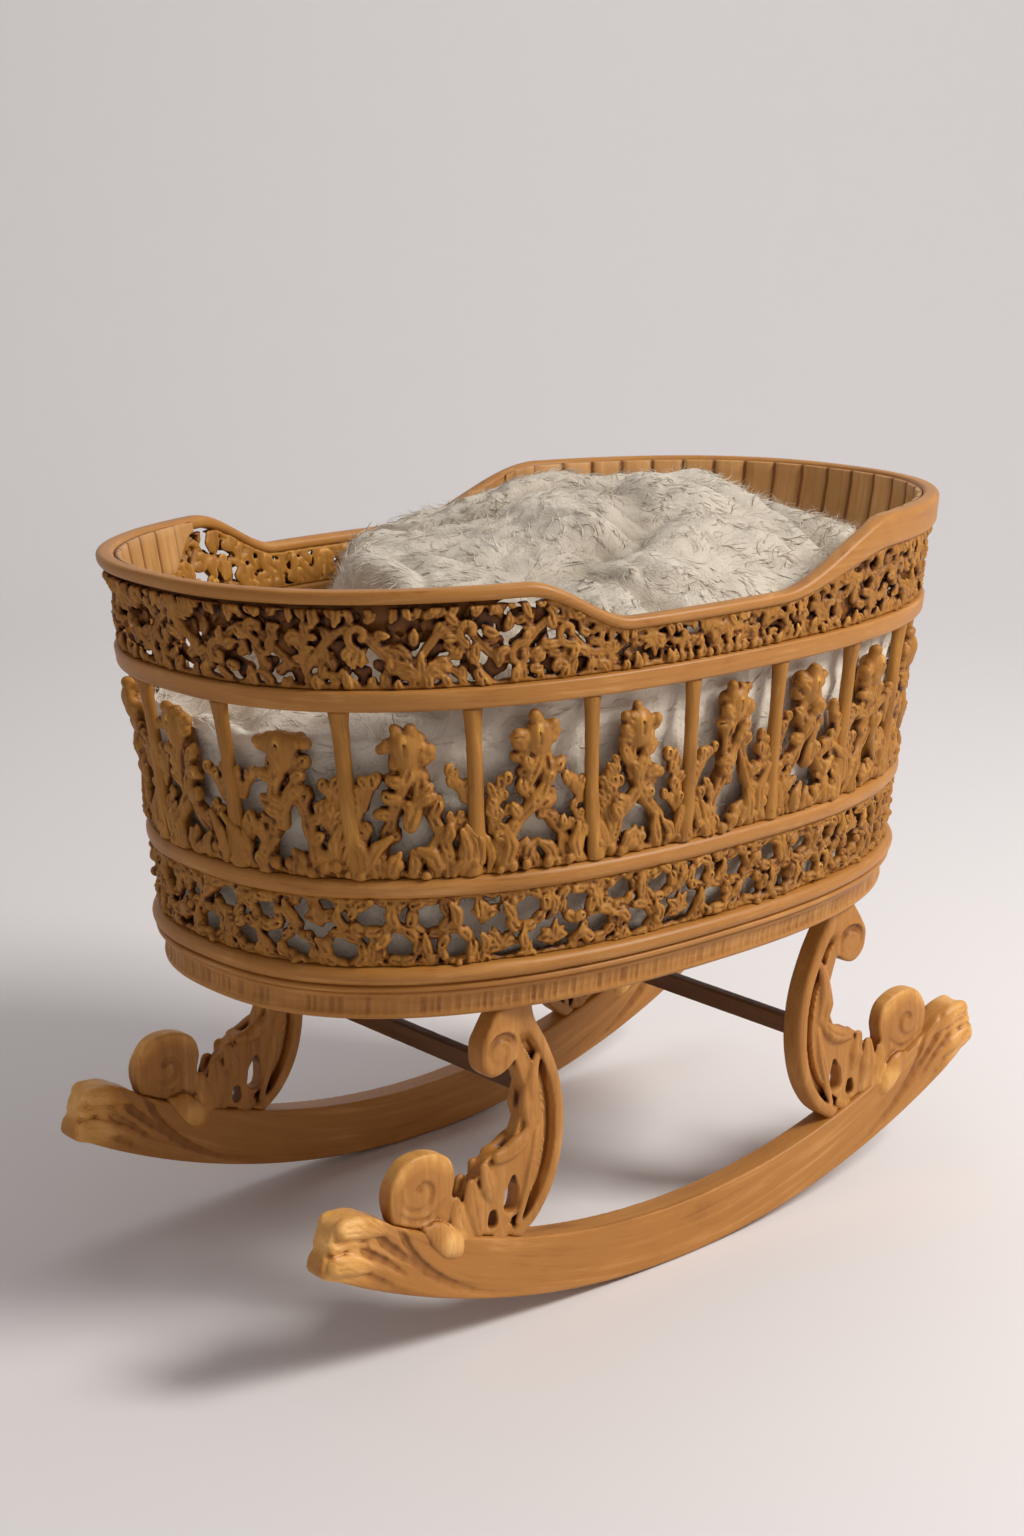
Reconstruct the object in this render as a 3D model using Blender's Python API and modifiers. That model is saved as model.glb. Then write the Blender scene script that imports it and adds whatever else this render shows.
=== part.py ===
"""A carved wooden baby cradle: an oval openwork tub on two curved rockers, with a pad and a fleece.

Metres, +Z up.  +X points to the head end, -X to the foot end, and the rockers run along X.
The origin is on the floor, under the middle of the tub.
"""

import math

import bmesh
import bpy
import numpy as np
from mathutils import Matrix, Vector

# ---- driving dimensions ------------------------------------------------------------------------
GAP = 0.0003                    # clearance kept between touching pieces

# the tub's wall: a rounded oblong that flares from the base to the rim
BASE_Z = 0.3236                 # underside of the tub
RIM_Z = 0.727                   # top of the rim at the foot end
BASE_HALF = Vector((0.416, 0.254))
RIM_HALF = Vector((0.468, 0.290))
FLARE_POWER = Vector((1.6, 0.7))
OBLONG_POWER = 2.4

# heights of the bands, from the base up
SKIRT_TOP = 0.3513
TORUS_TOP = 0.3747
RING_MIDDLE = (0.4412, 0.4597)
RING_UPPER = (0.6175, 0.6370)
FLOOR_THICK = 0.016
PAD_THICK = 0.032

# the rim's edge: medium at the foot, low along the sides, tallest at the head
RIM_LOW_Z = 0.686
RIM_HEAD_Z = 0.742
FOOT_DIP = (-0.25, -0.14)
HEAD_RISE = (0.05, 0.23)
RAIL_DEPTH = (0.013, 0.0115, 0.034)     # height of the rail at the foot, at the side, at the head
LINING_DEPTH = (0.050, 0.080)           # height of the inner staves at the foot, at the head

# distances from the wall's outer line, positive outwards
RIM_FACES = (0.005, -0.012)
LINING_FACES = (-0.0125, -0.0185)
FRIEZE_FACES = (-0.001, -0.010)
VINE_FACES = (-0.0065, -0.0135)
RIB_FACES = (0.003, -0.0062)
RING_FACES = (0.006, -0.013)
TORUS_FACES = (0.010, -0.0145)
SKIRT_FACES = (0.002, -0.0145)
PAD_FACE = -0.021
FLEECE_FACE = -0.034

STATIONS = 60                   # points around the wall
SIDES = ("far", "foot", "near", "head")
SIDE_STATIONS = STATIONS // len(SIDES)
RIB_COUNT = 20
RIB_STEP = STATIONS // RIB_COUNT

# rockers and legs
ROCKER_RADIUS = 0.913
ROCKER_DEPTH = 0.060
ROCKER_THICK = 0.030
ROCKER_FACE_Y = 0.2228          # outer face
ROCKER_REACH = 0.437            # where the running curve ends and the carved end begins
ROCKER_FACETS = 37
LEG_THICK = 0.026
LEG_FACE_Y = ROCKER_FACE_Y - 0.002
LEG_FOOT = (0.220, 0.3725)      # where the leg stands on the rocker, along X
STRETCHER_SIZE = (0.014, 0.020)
STRETCHER_X = 0.1775
STRETCHER_Z = {"foot": 0.221, "head": 0.199}


# ---- scene -------------------------------------------------------------------------------------
for old in list(bpy.data.objects):
    bpy.data.objects.remove(old, do_unlink=True)
cradle = bpy.data.collections.new("baby_cradle")
cutters = bpy.data.collections.new("cutters")
bpy.context.scene.collection.children.link(cradle)
bpy.context.scene.collection.children.link(cutters)


def material(name, colour, roughness):
    made = bpy.data.materials.new(name)
    made.use_nodes = True
    shader = made.node_tree.nodes["Principled BSDF"]
    shader.inputs["Base Color"].default_value = (*colour, 1.0)
    shader.inputs["Roughness"].default_value = roughness
    shader.inputs["Metallic"].default_value = 0.0
    return made


RAIL_WOOD = material("rail_wood", (0.50, 0.27, 0.11), 0.38)
CARVED_WOOD = material("carved_wood", (0.36, 0.18, 0.07), 0.50)
STAVE_WOOD = material("stave_wood", (0.44, 0.25, 0.11), 0.48)
BOARD_WOOD = material("board_wood", (0.33, 0.18, 0.08), 0.60)
LEG_WOOD = material("leg_wood", (0.45, 0.24, 0.10), 0.42)
ROCKER_WOOD = material("rocker_wood", (0.48, 0.26, 0.11), 0.40)
STRETCHER_WOOD = material("stretcher_wood", (0.16, 0.08, 0.03), 0.50)
PAD_CLOTH = material("pad_cloth", (0.78, 0.74, 0.66), 0.90)
FLEECE = material("fleece", (0.68, 0.64, 0.57), 0.95)


# ---- the wall ----------------------------------------------------------------------------------
def half_size(z):
    """Half length and half width of the wall's outer line at a height."""
    rise = min(max((z - BASE_Z) / (RIM_Z - BASE_Z), 0.0), 1.0)
    length = BASE_HALF.x + (RIM_HALF.x - BASE_HALF.x) * rise ** FLARE_POWER.x
    width = BASE_HALF.y + (RIM_HALF.y - BASE_HALF.y) * rise ** FLARE_POWER.y
    return length, width


def oblong(angle, half_length, half_width):
    cosine, sine = math.cos(angle), math.sin(angle)
    x = math.copysign(abs(cosine) ** (2.0 / OBLONG_POWER), cosine) * half_length
    y = math.copysign(abs(sine) ** (2.0 / OBLONG_POWER), sine) * half_width
    return x, y


def even_angles():
    """Curve angles whose points are evenly spaced along the rim, for any share of the way round."""
    angles = np.linspace(0.0, 2.0 * math.pi, 2881)
    points = np.array([oblong(angle, *RIM_HALF) for angle in angles])
    steps = np.linalg.norm(np.diff(points, axis=0), axis=1)
    walked = np.concatenate([[0.0], np.cumsum(steps)])
    return walked / walked[-1], angles


SHARES, ANGLES = even_angles()


def wall_point(station, z, outwards=0.0):
    """A point on the wall.  Station 0 is the corner between the head and the far side."""
    share = (1.0 / 8.0 + station / STATIONS) % 1.0
    angle = float(np.interp(share, SHARES, ANGLES))
    length, width = half_size(z)
    x, y = oblong(angle, length + outwards, width + outwards)
    return Vector((x, y, z))


def ease(start, end, x):
    t = min(max((x - start) / (end - start), 0.0), 1.0)
    return t * t * (3.0 - 2.0 * t)


def along_rim(x, foot, side, head):
    """A value that changes from the foot through the sides to the head, as the rim does."""
    return side + (foot - side) * (1.0 - ease(*FOOT_DIP, x)) + (head - side) * ease(*HEAD_RISE, x)


def rim_top(station):
    return along_rim(wall_point(station, RIM_Z).x, RIM_Z, RIM_LOW_Z, RIM_HEAD_Z)


def rim_bottom(station):
    return rim_top(station) - along_rim(wall_point(station, RIM_Z).x, *RAIL_DEPTH)


# ---- building helpers --------------------------------------------------------------------------
def add_mesh(name, points, faces, finish, smooth=True):
    mesh = bpy.data.meshes.new(name)
    mesh.from_pydata([tuple(p) for p in points], [], faces)
    shape = bmesh.new()
    shape.from_mesh(mesh)
    bmesh.ops.recalc_face_normals(shape, faces=shape.faces)
    shape.to_mesh(mesh)
    shape.free()
    piece = bpy.data.objects.new(name, mesh)
    piece.data.materials.append(finish)
    cradle.objects.link(piece)
    if smooth:
        mesh.shade_smooth()
        mesh.set_sharp_from_angle(angle=math.radians(35.0))
    return piece


def loft(name, sections, finish, ring=False):
    """Join like sections, each a closed loop of points, into one closed body."""
    count = len(sections[0])
    points = [p for section in sections for p in section]
    faces = []
    last = len(sections) if ring else len(sections) - 1
    for i in range(last):
        here, there = i * count, ((i + 1) % len(sections)) * count
        for j in range(count):
            k = (j + 1) % count
            faces.append((here + j, here + k, there + k, there + j))
    if not ring:
        faces.append(tuple(reversed(range(count))))
        end = (len(sections) - 1) * count
        faces.append(tuple(end + j for j in range(count)))
    return add_mesh(name, points, faces, finish)


def ring(name, profile, finish):
    """A closed band round the wall; profile gives its section at a station."""
    return loft(name, [profile(i) for i in range(STATIONS)], finish, ring=True)


def quarter(name, side, profile, finish):
    """A sawn quarter of a band, along one side of the wall."""
    return loft(f"{name}_{side}", [profile(i) for i in panel_stations(side)], finish)


def wall_panel(name, stations, bottom, top, faces, finish):
    """A curved board between two stations; bottom and top give its edges at a station."""
    sections = []
    for station in stations:
        low, high = bottom(station), top(station)
        sections.append([
            wall_point(station, low, faces[0]),
            wall_point(station, high, faces[0]),
            wall_point(station, high, faces[1]),
            wall_point(station, low, faces[1]),
        ])
    return loft(name, sections, finish)


def panel_stations(side):
    """Whole stations across one side, with its two ends drawn in by a hair."""
    start = SIDES.index(side) * SIDE_STATIONS
    hair = 0.012
    inner = [start + i for i in range(1, SIDE_STATIONS)]
    return [start + hair, *inner, start + SIDE_STATIONS - hair]


def plate(name, outline, thickness, finish, holes=()):
    """A flat board sawn to an outline in the XY plane, centred on Z = 0."""
    curve = bpy.data.curves.new(name, "CURVE")
    curve.dimensions = "2D"
    curve.fill_mode = "BOTH"
    curve.extrude = thickness / 2.0
    for loop in (outline, *holes):
        spline = curve.splines.new("POLY")
        spline.points.add(len(loop) - 1)
        for point, (x, y) in zip(spline.points, loop):
            point.co = (x, y, 0.0, 1.0)
        spline.use_cyclic_u = True
    curve.materials.append(finish)
    piece = bpy.data.objects.new(name, curve)
    cradle.objects.link(piece)
    return piece


def smooth_through(points, steps):
    """Points of a smooth curve through the given ones, ends included."""
    given = [Vector(p) for p in points]
    padded = [given[0] * 2.0 - given[1], *given, given[-1] * 2.0 - given[-2]]
    made = []
    for i in range(1, len(padded) - 2):
        before, start, end, after = padded[i - 1:i + 3]
        for k in range(steps):
            t = k / steps
            made.append(0.5 * (
                2.0 * start
                + (end - before) * t
                + (2.0 * before - 5.0 * start + 4.0 * end - after) * t ** 2
                + (3.0 * start - before - 3.0 * end + after) * t ** 3
            ))
    made.append(given[-1])
    return [(p.x, p.y) for p in made]


def mirrored(points):
    return [(-x, y) for x, y in reversed(points)]


def radial_cutter(station, z, width, height, corners):
    """A prism through the wall, with its flat outline facing outwards."""
    centre = wall_point(station, z)
    out = wall_point(station, z, 0.01) - centre
    out.z = 0.0
    turn = out.to_track_quat("Z", "Y").to_matrix().to_4x4()
    bpy.ops.mesh.primitive_cylinder_add(vertices=corners, radius=0.5, depth=0.08)
    cutter = bpy.context.object
    spread = Matrix.Diagonal((width, height, 1.0, 1.0))
    cutter.data.transform(Matrix.Translation(centre) @ turn @ spread)
    return cutter


def cut(piece, parts):
    """Join the cutters and take them out of the piece."""
    bpy.ops.object.select_all(action="DESELECT")
    for part in parts:
        part.select_set(True)
    bpy.context.view_layer.objects.active = parts[0]
    bpy.ops.object.join()
    tool = parts[0]
    tool.name = piece.name + "_cutter"
    for home in list(tool.users_collection):
        home.objects.unlink(tool)
    cutters.objects.link(tool)
    tool.hide_render = True
    tool.display_type = "WIRE"
    modifier = piece.modifiers.new("openings", "BOOLEAN")
    modifier.operation = "DIFFERENCE"
    modifier.solver = "EXACT"
    modifier.object = tool


# ---- the tub -----------------------------------------------------------------------------------
def make_rim_rail(side):
    outer, inner = RIM_FACES

    def profile(station):
        low, high = rim_bottom(station), rim_top(station)
        crown = (high - low) * 0.25
        return [
            wall_point(station, low, outer - 0.003),
            wall_point(station, high - crown, outer),
            wall_point(station, high, outer - 0.004),
            wall_point(station, high, inner + 0.005),
            wall_point(station, high - crown, inner),
            wall_point(station, low, inner),
        ]

    quarter("rim_rail", side, profile, RAIL_WOOD)


def band_profile(low, high, faces, bulge):
    """A plain band; bulge is how far its top and bottom edges draw in from its widest line."""
    outer, inner = faces
    middle = (low + high) / 2.0

    def profile(station):
        return [
            wall_point(station, low, outer - bulge),
            wall_point(station, middle, outer),
            wall_point(station, high, outer - bulge),
            wall_point(station, high, inner),
            wall_point(station, low, inner),
        ]

    return profile


def make_lining(end):
    """The staves inside one raised end, as one curved board."""
    depth = LINING_DEPTH[0] if end == "foot" else LINING_DEPTH[1]
    start = SIDES.index(end) * SIDE_STATIONS
    margin = -1 if end == "foot" else -3
    stations = range(start + margin, start + SIDE_STATIONS - margin + 1)

    def bottom(station):
        return min(rim_top(station) - 0.014, max(rim_top(station) - depth, 0.655))

    def top(station):
        return rim_top(station) - 0.003

    wall_panel(f"{end}_lining", stations, bottom, top, LINING_FACES, STAVE_WOOD)


def make_upper_frieze(side):
    def bottom(_station):
        return RING_UPPER[1] + GAP

    def top(station):
        return rim_bottom(station) - GAP

    stations = panel_stations(side)
    panel = wall_panel(f"upper_frieze_{side}", stations, bottom, top, FRIEZE_FACES, CARVED_WOOD)
    holes = []
    for station in stations[2:-1:2]:
        low, high = bottom(station), min(top(station - 0.6), top(station), top(station + 0.6))
        middle, opening = (low + high) / 2.0, (high - low) - 0.016
        holes.append(radial_cutter(station, middle, 0.045, opening, 6))
    cut(panel, holes)


def make_lower_frieze(side):
    low, high = TORUS_TOP + GAP, RING_MIDDLE[0] - GAP
    stations = panel_stations(side)
    panel = wall_panel(
        f"lower_frieze_{side}", stations, lambda _: low, lambda _: high, FRIEZE_FACES, CARVED_WOOD
    )
    middle, opening = (low + high) / 2.0, (high - low) - 0.018
    holes = [radial_cutter(station, middle, 0.046, opening, 4) for station in stations[2:-1:2]]
    cut(panel, holes)


def make_vine_panel(side):
    """A low bank of leaves with a tree-like figure rising in the middle of each bay."""
    floor = RING_MIDDLE[1] + GAP
    bank, crown = floor + 0.036, floor + 0.132
    start = SIDES.index(side) * SIDE_STATIONS
    skyline = []
    for bay in range(SIDE_STATIONS // RIB_STEP):
        middle = start + bay * RIB_STEP + RIB_STEP / 2.0
        skyline += [
            (middle - 0.80, bank),
            (middle - 0.55, crown - 0.030),
            (middle - 0.30, crown),
            (middle + 0.30, crown),
            (middle + 0.55, crown - 0.030),
            (middle + 0.80, bank),
        ]
    ends = panel_stations(side)
    skyline = [(ends[0], bank), *skyline, (ends[-1], bank)]
    heights = dict(skyline)
    stations = [station for station, _height in skyline]
    wall_panel(
        f"vine_panel_{side}", stations, lambda _: floor, lambda s: heights[s], VINE_FACES, CARVED_WOOD
    )


def make_rib(number):
    """A leaning rib between the middle and the upper ring, wider at its foot."""
    station = number * RIB_STEP
    low, high = RING_MIDDLE[1] + GAP, RING_UPPER[0] - GAP
    sections = []
    for share, width in ((0.0, 0.017), (0.3, 0.013), (1.0, 0.011)):
        z = low + (high - low) * share
        along = (wall_point(station + 0.1, z) - wall_point(station - 0.1, z)).normalized()
        outer = wall_point(station, z, RIB_FACES[0])
        inner = wall_point(station, z, RIB_FACES[1])
        side = along * width / 2.0
        sections.append([outer - side, outer + side, inner + side, inner - side])
    loft(f"rib_{number + 1:02d}", sections, CARVED_WOOD)


def make_slab(name, low, high, face, finish, inset=0.0):
    """A flat board that fills the wall's outline; inset rounds its top edge."""
    stations = range(0, STATIONS, 1)
    if inset:
        levels = [(low, -inset), (low + inset, 0.0), (high - inset, 0.0), (high, -inset)]
    else:
        levels = [(low, 0.0), (high, 0.0)]
    sections = [
        [wall_point(station, BASE_Z, face + more) + Vector((0.0, 0.0, z - BASE_Z)) for station in stations]
        for z, more in levels
    ]
    loft(name, sections, finish)


# ---- rockers, legs and stretchers --------------------------------------------------------------
FACET_HALF = ROCKER_REACH / ROCKER_FACETS
FLOOR_DROP = ROCKER_RADIUS - math.sqrt(ROCKER_RADIUS ** 2 - FACET_HALF ** 2)


def rocker_bottom(x):
    return ROCKER_RADIUS - math.sqrt(ROCKER_RADIUS ** 2 - x * x) - FLOOR_DROP


def rocker_top(x):
    return ROCKER_RADIUS - math.sqrt((ROCKER_RADIUS - ROCKER_DEPTH) ** 2 - x * x)


def make_rocker(side):
    """A sawn runner whose middle facet lies flat on the floor, with an upturned carved end."""
    running = np.linspace(-ROCKER_REACH, ROCKER_REACH, ROCKER_FACETS + 1)
    bottom = [(float(x), rocker_bottom(float(x))) for x in running]
    carved_end = smooth_through(
        [(ROCKER_REACH, rocker_bottom(ROCKER_REACH)), (0.452, 0.120), (0.461, 0.134), (0.452, 0.152),
         (0.440, 0.168), (0.424, 0.172), (0.404, 0.167), (0.386, 0.157), (0.375, rocker_top(0.375))], 2
    )
    top = [(float(x), rocker_top(float(x))) for x in np.linspace(0.375, -0.375, 33)]
    outline = bottom + carved_end[1:] + top[1:-1] + mirrored(carved_end[1:])
    piece = plate(f"rocker_{side}", outline, ROCKER_THICK, ROCKER_WOOD)
    y = ROCKER_FACE_Y - ROCKER_THICK / 2.0
    piece.location.y = y if side == "far" else -y
    piece.rotation_euler.x = math.radians(90.0)


def round_hole(x, z, radius, stretch, corners=8):
    turns = [2.0 * math.pi * i / corners for i in range(corners)]
    return [(x + radius * math.cos(t), z + radius * stretch * math.sin(t)) for t in turns]


def make_leg(end, side):
    """A sawn C-scroll: a volute under the tub, a bowed back, and a rounded lobe at the toe."""
    seat = BASE_Z - GAP
    foot = [(float(x), rocker_top(float(x)) + 2.0 * GAP) for x in np.linspace(LEG_FOOT[1], LEG_FOOT[0], 8)]
    back = smooth_through(
        [foot[-1], (0.196, 0.106), (0.177, 0.135), (0.167, 0.170), (0.1655, 0.205), (0.172, 0.242),
         (0.187, 0.278), (0.202, 0.304), (0.207, seat)], 2
    )
    volute = smooth_through(
        [(0.247, seat), (0.261, 0.303), (0.269, 0.286), (0.267, 0.268), (0.253, 0.257), (0.238, 0.260),
         (0.226, 0.268)], 2
    )
    inside = smooth_through(
        [(0.226, 0.268), (0.219, 0.248), (0.212, 0.227), (0.218, 0.208), (0.226, 0.190), (0.234, 0.180),
         (0.248, 0.182), (0.262, 0.175), (0.274, 0.161), (0.286, 0.147), (0.296, 0.142)], 2
    )
    toe = smooth_through(
        [(0.296, 0.142), (0.303, 0.152), (0.302, 0.172), (0.310, 0.193), (0.333, 0.2035), (0.357, 0.201),
         (0.373, 0.184), (0.377, 0.166), foot[0]], 2
    )
    outline = back[:-1] + [back[-1]] + volute[:-1] + inside[:-1] + toe[:-1] + foot[:-1]
    holes = [round_hole(0.252, 0.127, 0.007, 1.1), round_hole(0.222, 0.143, 0.006, 1.7)]
    if end == "foot":
        outline = mirrored(outline)
        holes = [mirrored(hole) for hole in holes]
    piece = plate(f"leg_{end}_{side}", outline, LEG_THICK, LEG_WOOD, holes)
    y = LEG_FACE_Y - LEG_THICK / 2.0
    piece.location.y = y if side == "far" else -y
    piece.rotation_euler.x = math.radians(90.0)


def make_stretcher(end):
    """A plain bar across the cradle, from leg to leg."""
    length = 2.0 * (LEG_FACE_Y - LEG_THICK - GAP)
    bpy.ops.mesh.primitive_cube_add(size=1.0)
    bar = bpy.context.object
    bar.name = f"stretcher_{end}"
    bar.data.transform(Matrix.Diagonal((STRETCHER_SIZE[0], length, STRETCHER_SIZE[1], 1.0)))
    for home in list(bar.users_collection):
        home.objects.unlink(bar)
    cradle.objects.link(bar)
    x = STRETCHER_X if end == "head" else -STRETCHER_X
    bar.location = (x, 0.0, STRETCHER_Z[end])
    edges = bar.modifiers.new("eased edges", "BEVEL")
    edges.width = 0.0015
    edges.segments = 1
    bar.data.materials.append(STRETCHER_WOOD)


# ---- bedding -----------------------------------------------------------------------------------
FLEECE_FLOOR = BASE_Z + FLOOR_THICK + PAD_THICK + 2.0 * GAP


def heap_crest(x):
    """Height of the fleece along the middle of the cradle."""
    return 0.600 + 0.118 * ease(-0.33, -0.19, x) + 0.038 * ease(-0.16, 0.05, x) - 0.075 * ease(0.16, 0.44, x)


def heap_edge(x):
    """Height of the fleece where it meets the wall."""
    return 0.585 + 0.070 * ease(-0.30, -0.12, x) - 0.015 * ease(0.20, 0.42, x)


def make_fleece():
    """A loose heap: it fills the tub from the pad up, low at the foot and high towards the head."""
    stations = range(0, STATIONS, 2)
    sections = []
    for share in (0.55, 1.0):
        section = []
        for station in stations:
            point = wall_point(station, FLEECE_FLOOR, FLEECE_FACE)
            section.append(Vector((point.x * share, point.y * share, FLEECE_FLOOR)))
        sections.append(section)
    edges = []
    for station in stations:
        z = heap_edge(wall_point(station, RING_UPPER[0]).x)
        edges.append(wall_point(station, z, FLEECE_FACE))
    sections.append(edges)
    for share in (0.88, 0.68, 0.45, 0.22):
        section = []
        for station in stations:
            edge_point = wall_point(station, RING_UPPER[0], FLEECE_FACE)
            x, y = edge_point.x * share, edge_point.y * share
            edge, crest = heap_edge(edge_point.x), heap_crest(x)
            z = edge + (crest - edge) * (1.0 - share ** 3) ** 0.8
            section.append(Vector((x, y, z)))
        sections.append(section)
    loft("fleece", sections, FLEECE)


# ---- assembly ----------------------------------------------------------------------------------
ring("base_moulding", band_profile(SKIRT_TOP + GAP, TORUS_TOP, TORUS_FACES, 0.008), RAIL_WOOD)
ring("fluted_skirt", band_profile(BASE_Z, SKIRT_TOP, SKIRT_FACES, 0.002), CARVED_WOOD)
make_slab("floor_board", BASE_Z, BASE_Z + FLOOR_THICK, SKIRT_FACES[1] - GAP, BOARD_WOOD)
make_slab("pad", BASE_Z + FLOOR_THICK + GAP, FLEECE_FLOOR - GAP, PAD_FACE, PAD_CLOTH, 0.006)
for lined_end in ("foot", "head"):
    make_lining(lined_end)
for wall_side in SIDES:
    make_rim_rail(wall_side)
    quarter("upper_ring", wall_side, band_profile(*RING_UPPER, RING_FACES, 0.003), RAIL_WOOD)
    quarter("middle_ring", wall_side, band_profile(*RING_MIDDLE, RING_FACES, 0.006), RAIL_WOOD)
    make_upper_frieze(wall_side)
    make_vine_panel(wall_side)
    make_lower_frieze(wall_side)
for rib_number in range(RIB_COUNT):
    make_rib(rib_number)
for rocker_side in ("near", "far"):
    make_rocker(rocker_side)
    for leg_end in ("foot", "head"):
        make_leg(leg_end, rocker_side)
for stretcher_end in ("foot", "head"):
    make_stretcher(stretcher_end)
make_fleece()
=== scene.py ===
"""The looks of the carved baby cradle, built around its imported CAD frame.

Metres, +Z up.  +X is the head end, -X the foot end, and -Y the near side.  The tub's bands and carvings are
made flat, as (along the wall, outwards, height), and then wrapped round the tub's oval wall.
"""

import math

import bpy
import numpy as np
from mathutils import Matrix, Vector


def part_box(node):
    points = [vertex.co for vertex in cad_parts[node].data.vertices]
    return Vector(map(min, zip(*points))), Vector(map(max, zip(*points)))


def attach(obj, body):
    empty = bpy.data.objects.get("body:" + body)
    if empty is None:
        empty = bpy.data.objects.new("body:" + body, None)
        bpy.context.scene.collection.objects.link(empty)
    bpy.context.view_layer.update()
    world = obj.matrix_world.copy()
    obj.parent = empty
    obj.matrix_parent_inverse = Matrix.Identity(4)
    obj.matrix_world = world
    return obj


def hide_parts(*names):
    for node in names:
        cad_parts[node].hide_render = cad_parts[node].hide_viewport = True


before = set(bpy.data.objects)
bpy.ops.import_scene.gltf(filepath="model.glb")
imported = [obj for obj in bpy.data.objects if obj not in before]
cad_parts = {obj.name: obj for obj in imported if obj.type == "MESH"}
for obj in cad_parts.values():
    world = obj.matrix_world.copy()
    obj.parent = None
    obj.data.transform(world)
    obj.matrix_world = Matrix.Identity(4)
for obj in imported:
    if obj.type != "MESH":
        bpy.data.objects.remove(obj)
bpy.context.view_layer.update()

rng = np.random.default_rng(7)  # the carver's draws, started anew for each motif


def reseed(seed):
    """A motif's own draws, so that it comes out the same in both of the panels that share it."""
    global rng
    rng = np.random.default_rng(seed)


def heights_of(node):
    low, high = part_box(node)
    return low.z, high.z



# ---- the frame's sizes -------------------------------------------------------------------------
OBLONG_POWER = 2.4
FLARE_POWER = (1.6, 0.7)
RAIL_PROUD = 0.005              # how far the rail's face stands outside the wall's outer line
FLOOR_INSET = 0.0148            # how far the floor board lies inside it

rim_high = Vector((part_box("rim_rail_head")[1].x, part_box("rim_rail_far")[1].y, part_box("rim_rail_head")[1].z))
floor_low, floor_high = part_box("floor_board")
RIM_HALF = (rim_high.x - RAIL_PROUD, rim_high.y - RAIL_PROUD)
BASE_HALF = (floor_high.x + FLOOR_INSET, floor_high.y + FLOOR_INSET)
BASE_Z = floor_low.z
RIM_HEAD_Z = rim_high.z
RIM_FOOT_Z = RIM_HEAD_Z - 0.015
RIM_LOW_Z = RIM_HEAD_Z - 0.056
FOOT_DIP = (-0.25, -0.14)
HEAD_RISE = (0.05, 0.23)
RAIL_DEPTH = (0.013, 0.0115, 0.034)

SKIRT_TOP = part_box("fluted_skirt")[1].z
TORUS = heights_of("base_moulding")
RING_MIDDLE = heights_of("middle_ring_near")
RING_UPPER = heights_of("upper_ring_near")
BAND_BACK = -0.0128             # the inner face of a bent band, outwards from the wall's outer line
MOULDING_BACK = -0.0143
SEAM = 0.0002                   # left between a carved piece and the band beside it
RIB_COUNT = 20
SIDES = ("far", "foot", "near", "head")


# ---- the wall ----------------------------------------------------------------------------------
def oblong(angle, half_length, half_width):
    cosine, sine = np.cos(angle), np.sin(angle)
    x = np.sign(cosine) * np.abs(cosine) ** (2.0 / OBLONG_POWER) * half_length
    y = np.sign(sine) * np.abs(sine) ** (2.0 / OBLONG_POWER) * half_width
    return x, y


def even_angles():
    """Curve angles whose points are evenly spaced along the rim, and the rim's length."""
    angles = np.linspace(0.0, 2.0 * math.pi, 5761)
    points = np.stack(oblong(angles, *RIM_HALF), axis=1)
    steps = np.linalg.norm(np.diff(points, axis=0), axis=1)
    walked = np.concatenate([[0.0], np.cumsum(steps)])
    return walked / walked[-1], angles, float(walked[-1])


SHARES, ANGLES, GIRTH = even_angles()


def on_wall(along, z, outwards):
    """Points on the wall.  along is metres round the rim from the middle of the head end."""
    along, z, outwards = np.broadcast_arrays(along, z, outwards)
    angle = np.interp((along / GIRTH) % 1.0, SHARES, ANGLES)
    rise = np.clip((z - BASE_Z) / (RIM_FOOT_Z - BASE_Z), 0.0, 1.0)
    length = BASE_HALF[0] + (RIM_HALF[0] - BASE_HALF[0]) * rise ** FLARE_POWER[0]
    width = BASE_HALF[1] + (RIM_HALF[1] - BASE_HALF[1]) * rise ** FLARE_POWER[1]
    x, y = oblong(angle, length + outwards, width + outwards)
    return np.stack([x, y, z], axis=-1)


def ease(start, end, x):
    t = np.clip((x - start) / (end - start), 0.0, 1.0)
    return t * t * (3.0 - 2.0 * t)


def along_rim(along, foot, side, head):
    """A value that changes from the foot through the sides to the head, as the rim does."""
    x = on_wall(along, RIM_FOOT_Z, 0.0)[..., 0]
    return side + (foot - side) * (1.0 - ease(*FOOT_DIP, x)) + (head - side) * ease(*HEAD_RISE, x)


def rim_top(along):
    return along_rim(along, RIM_FOOT_Z, RIM_LOW_Z, RIM_HEAD_Z)


def rim_bottom(along):
    return rim_top(along) - along_rim(along, *RAIL_DEPTH)


def side_span(side):
    """Where a side's panel starts and ends, in metres along the wall."""
    start = GIRTH * (1.0 / 8.0 + SIDES.index(side) / 4.0)
    return start, start + GIRTH / 4.0


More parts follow.
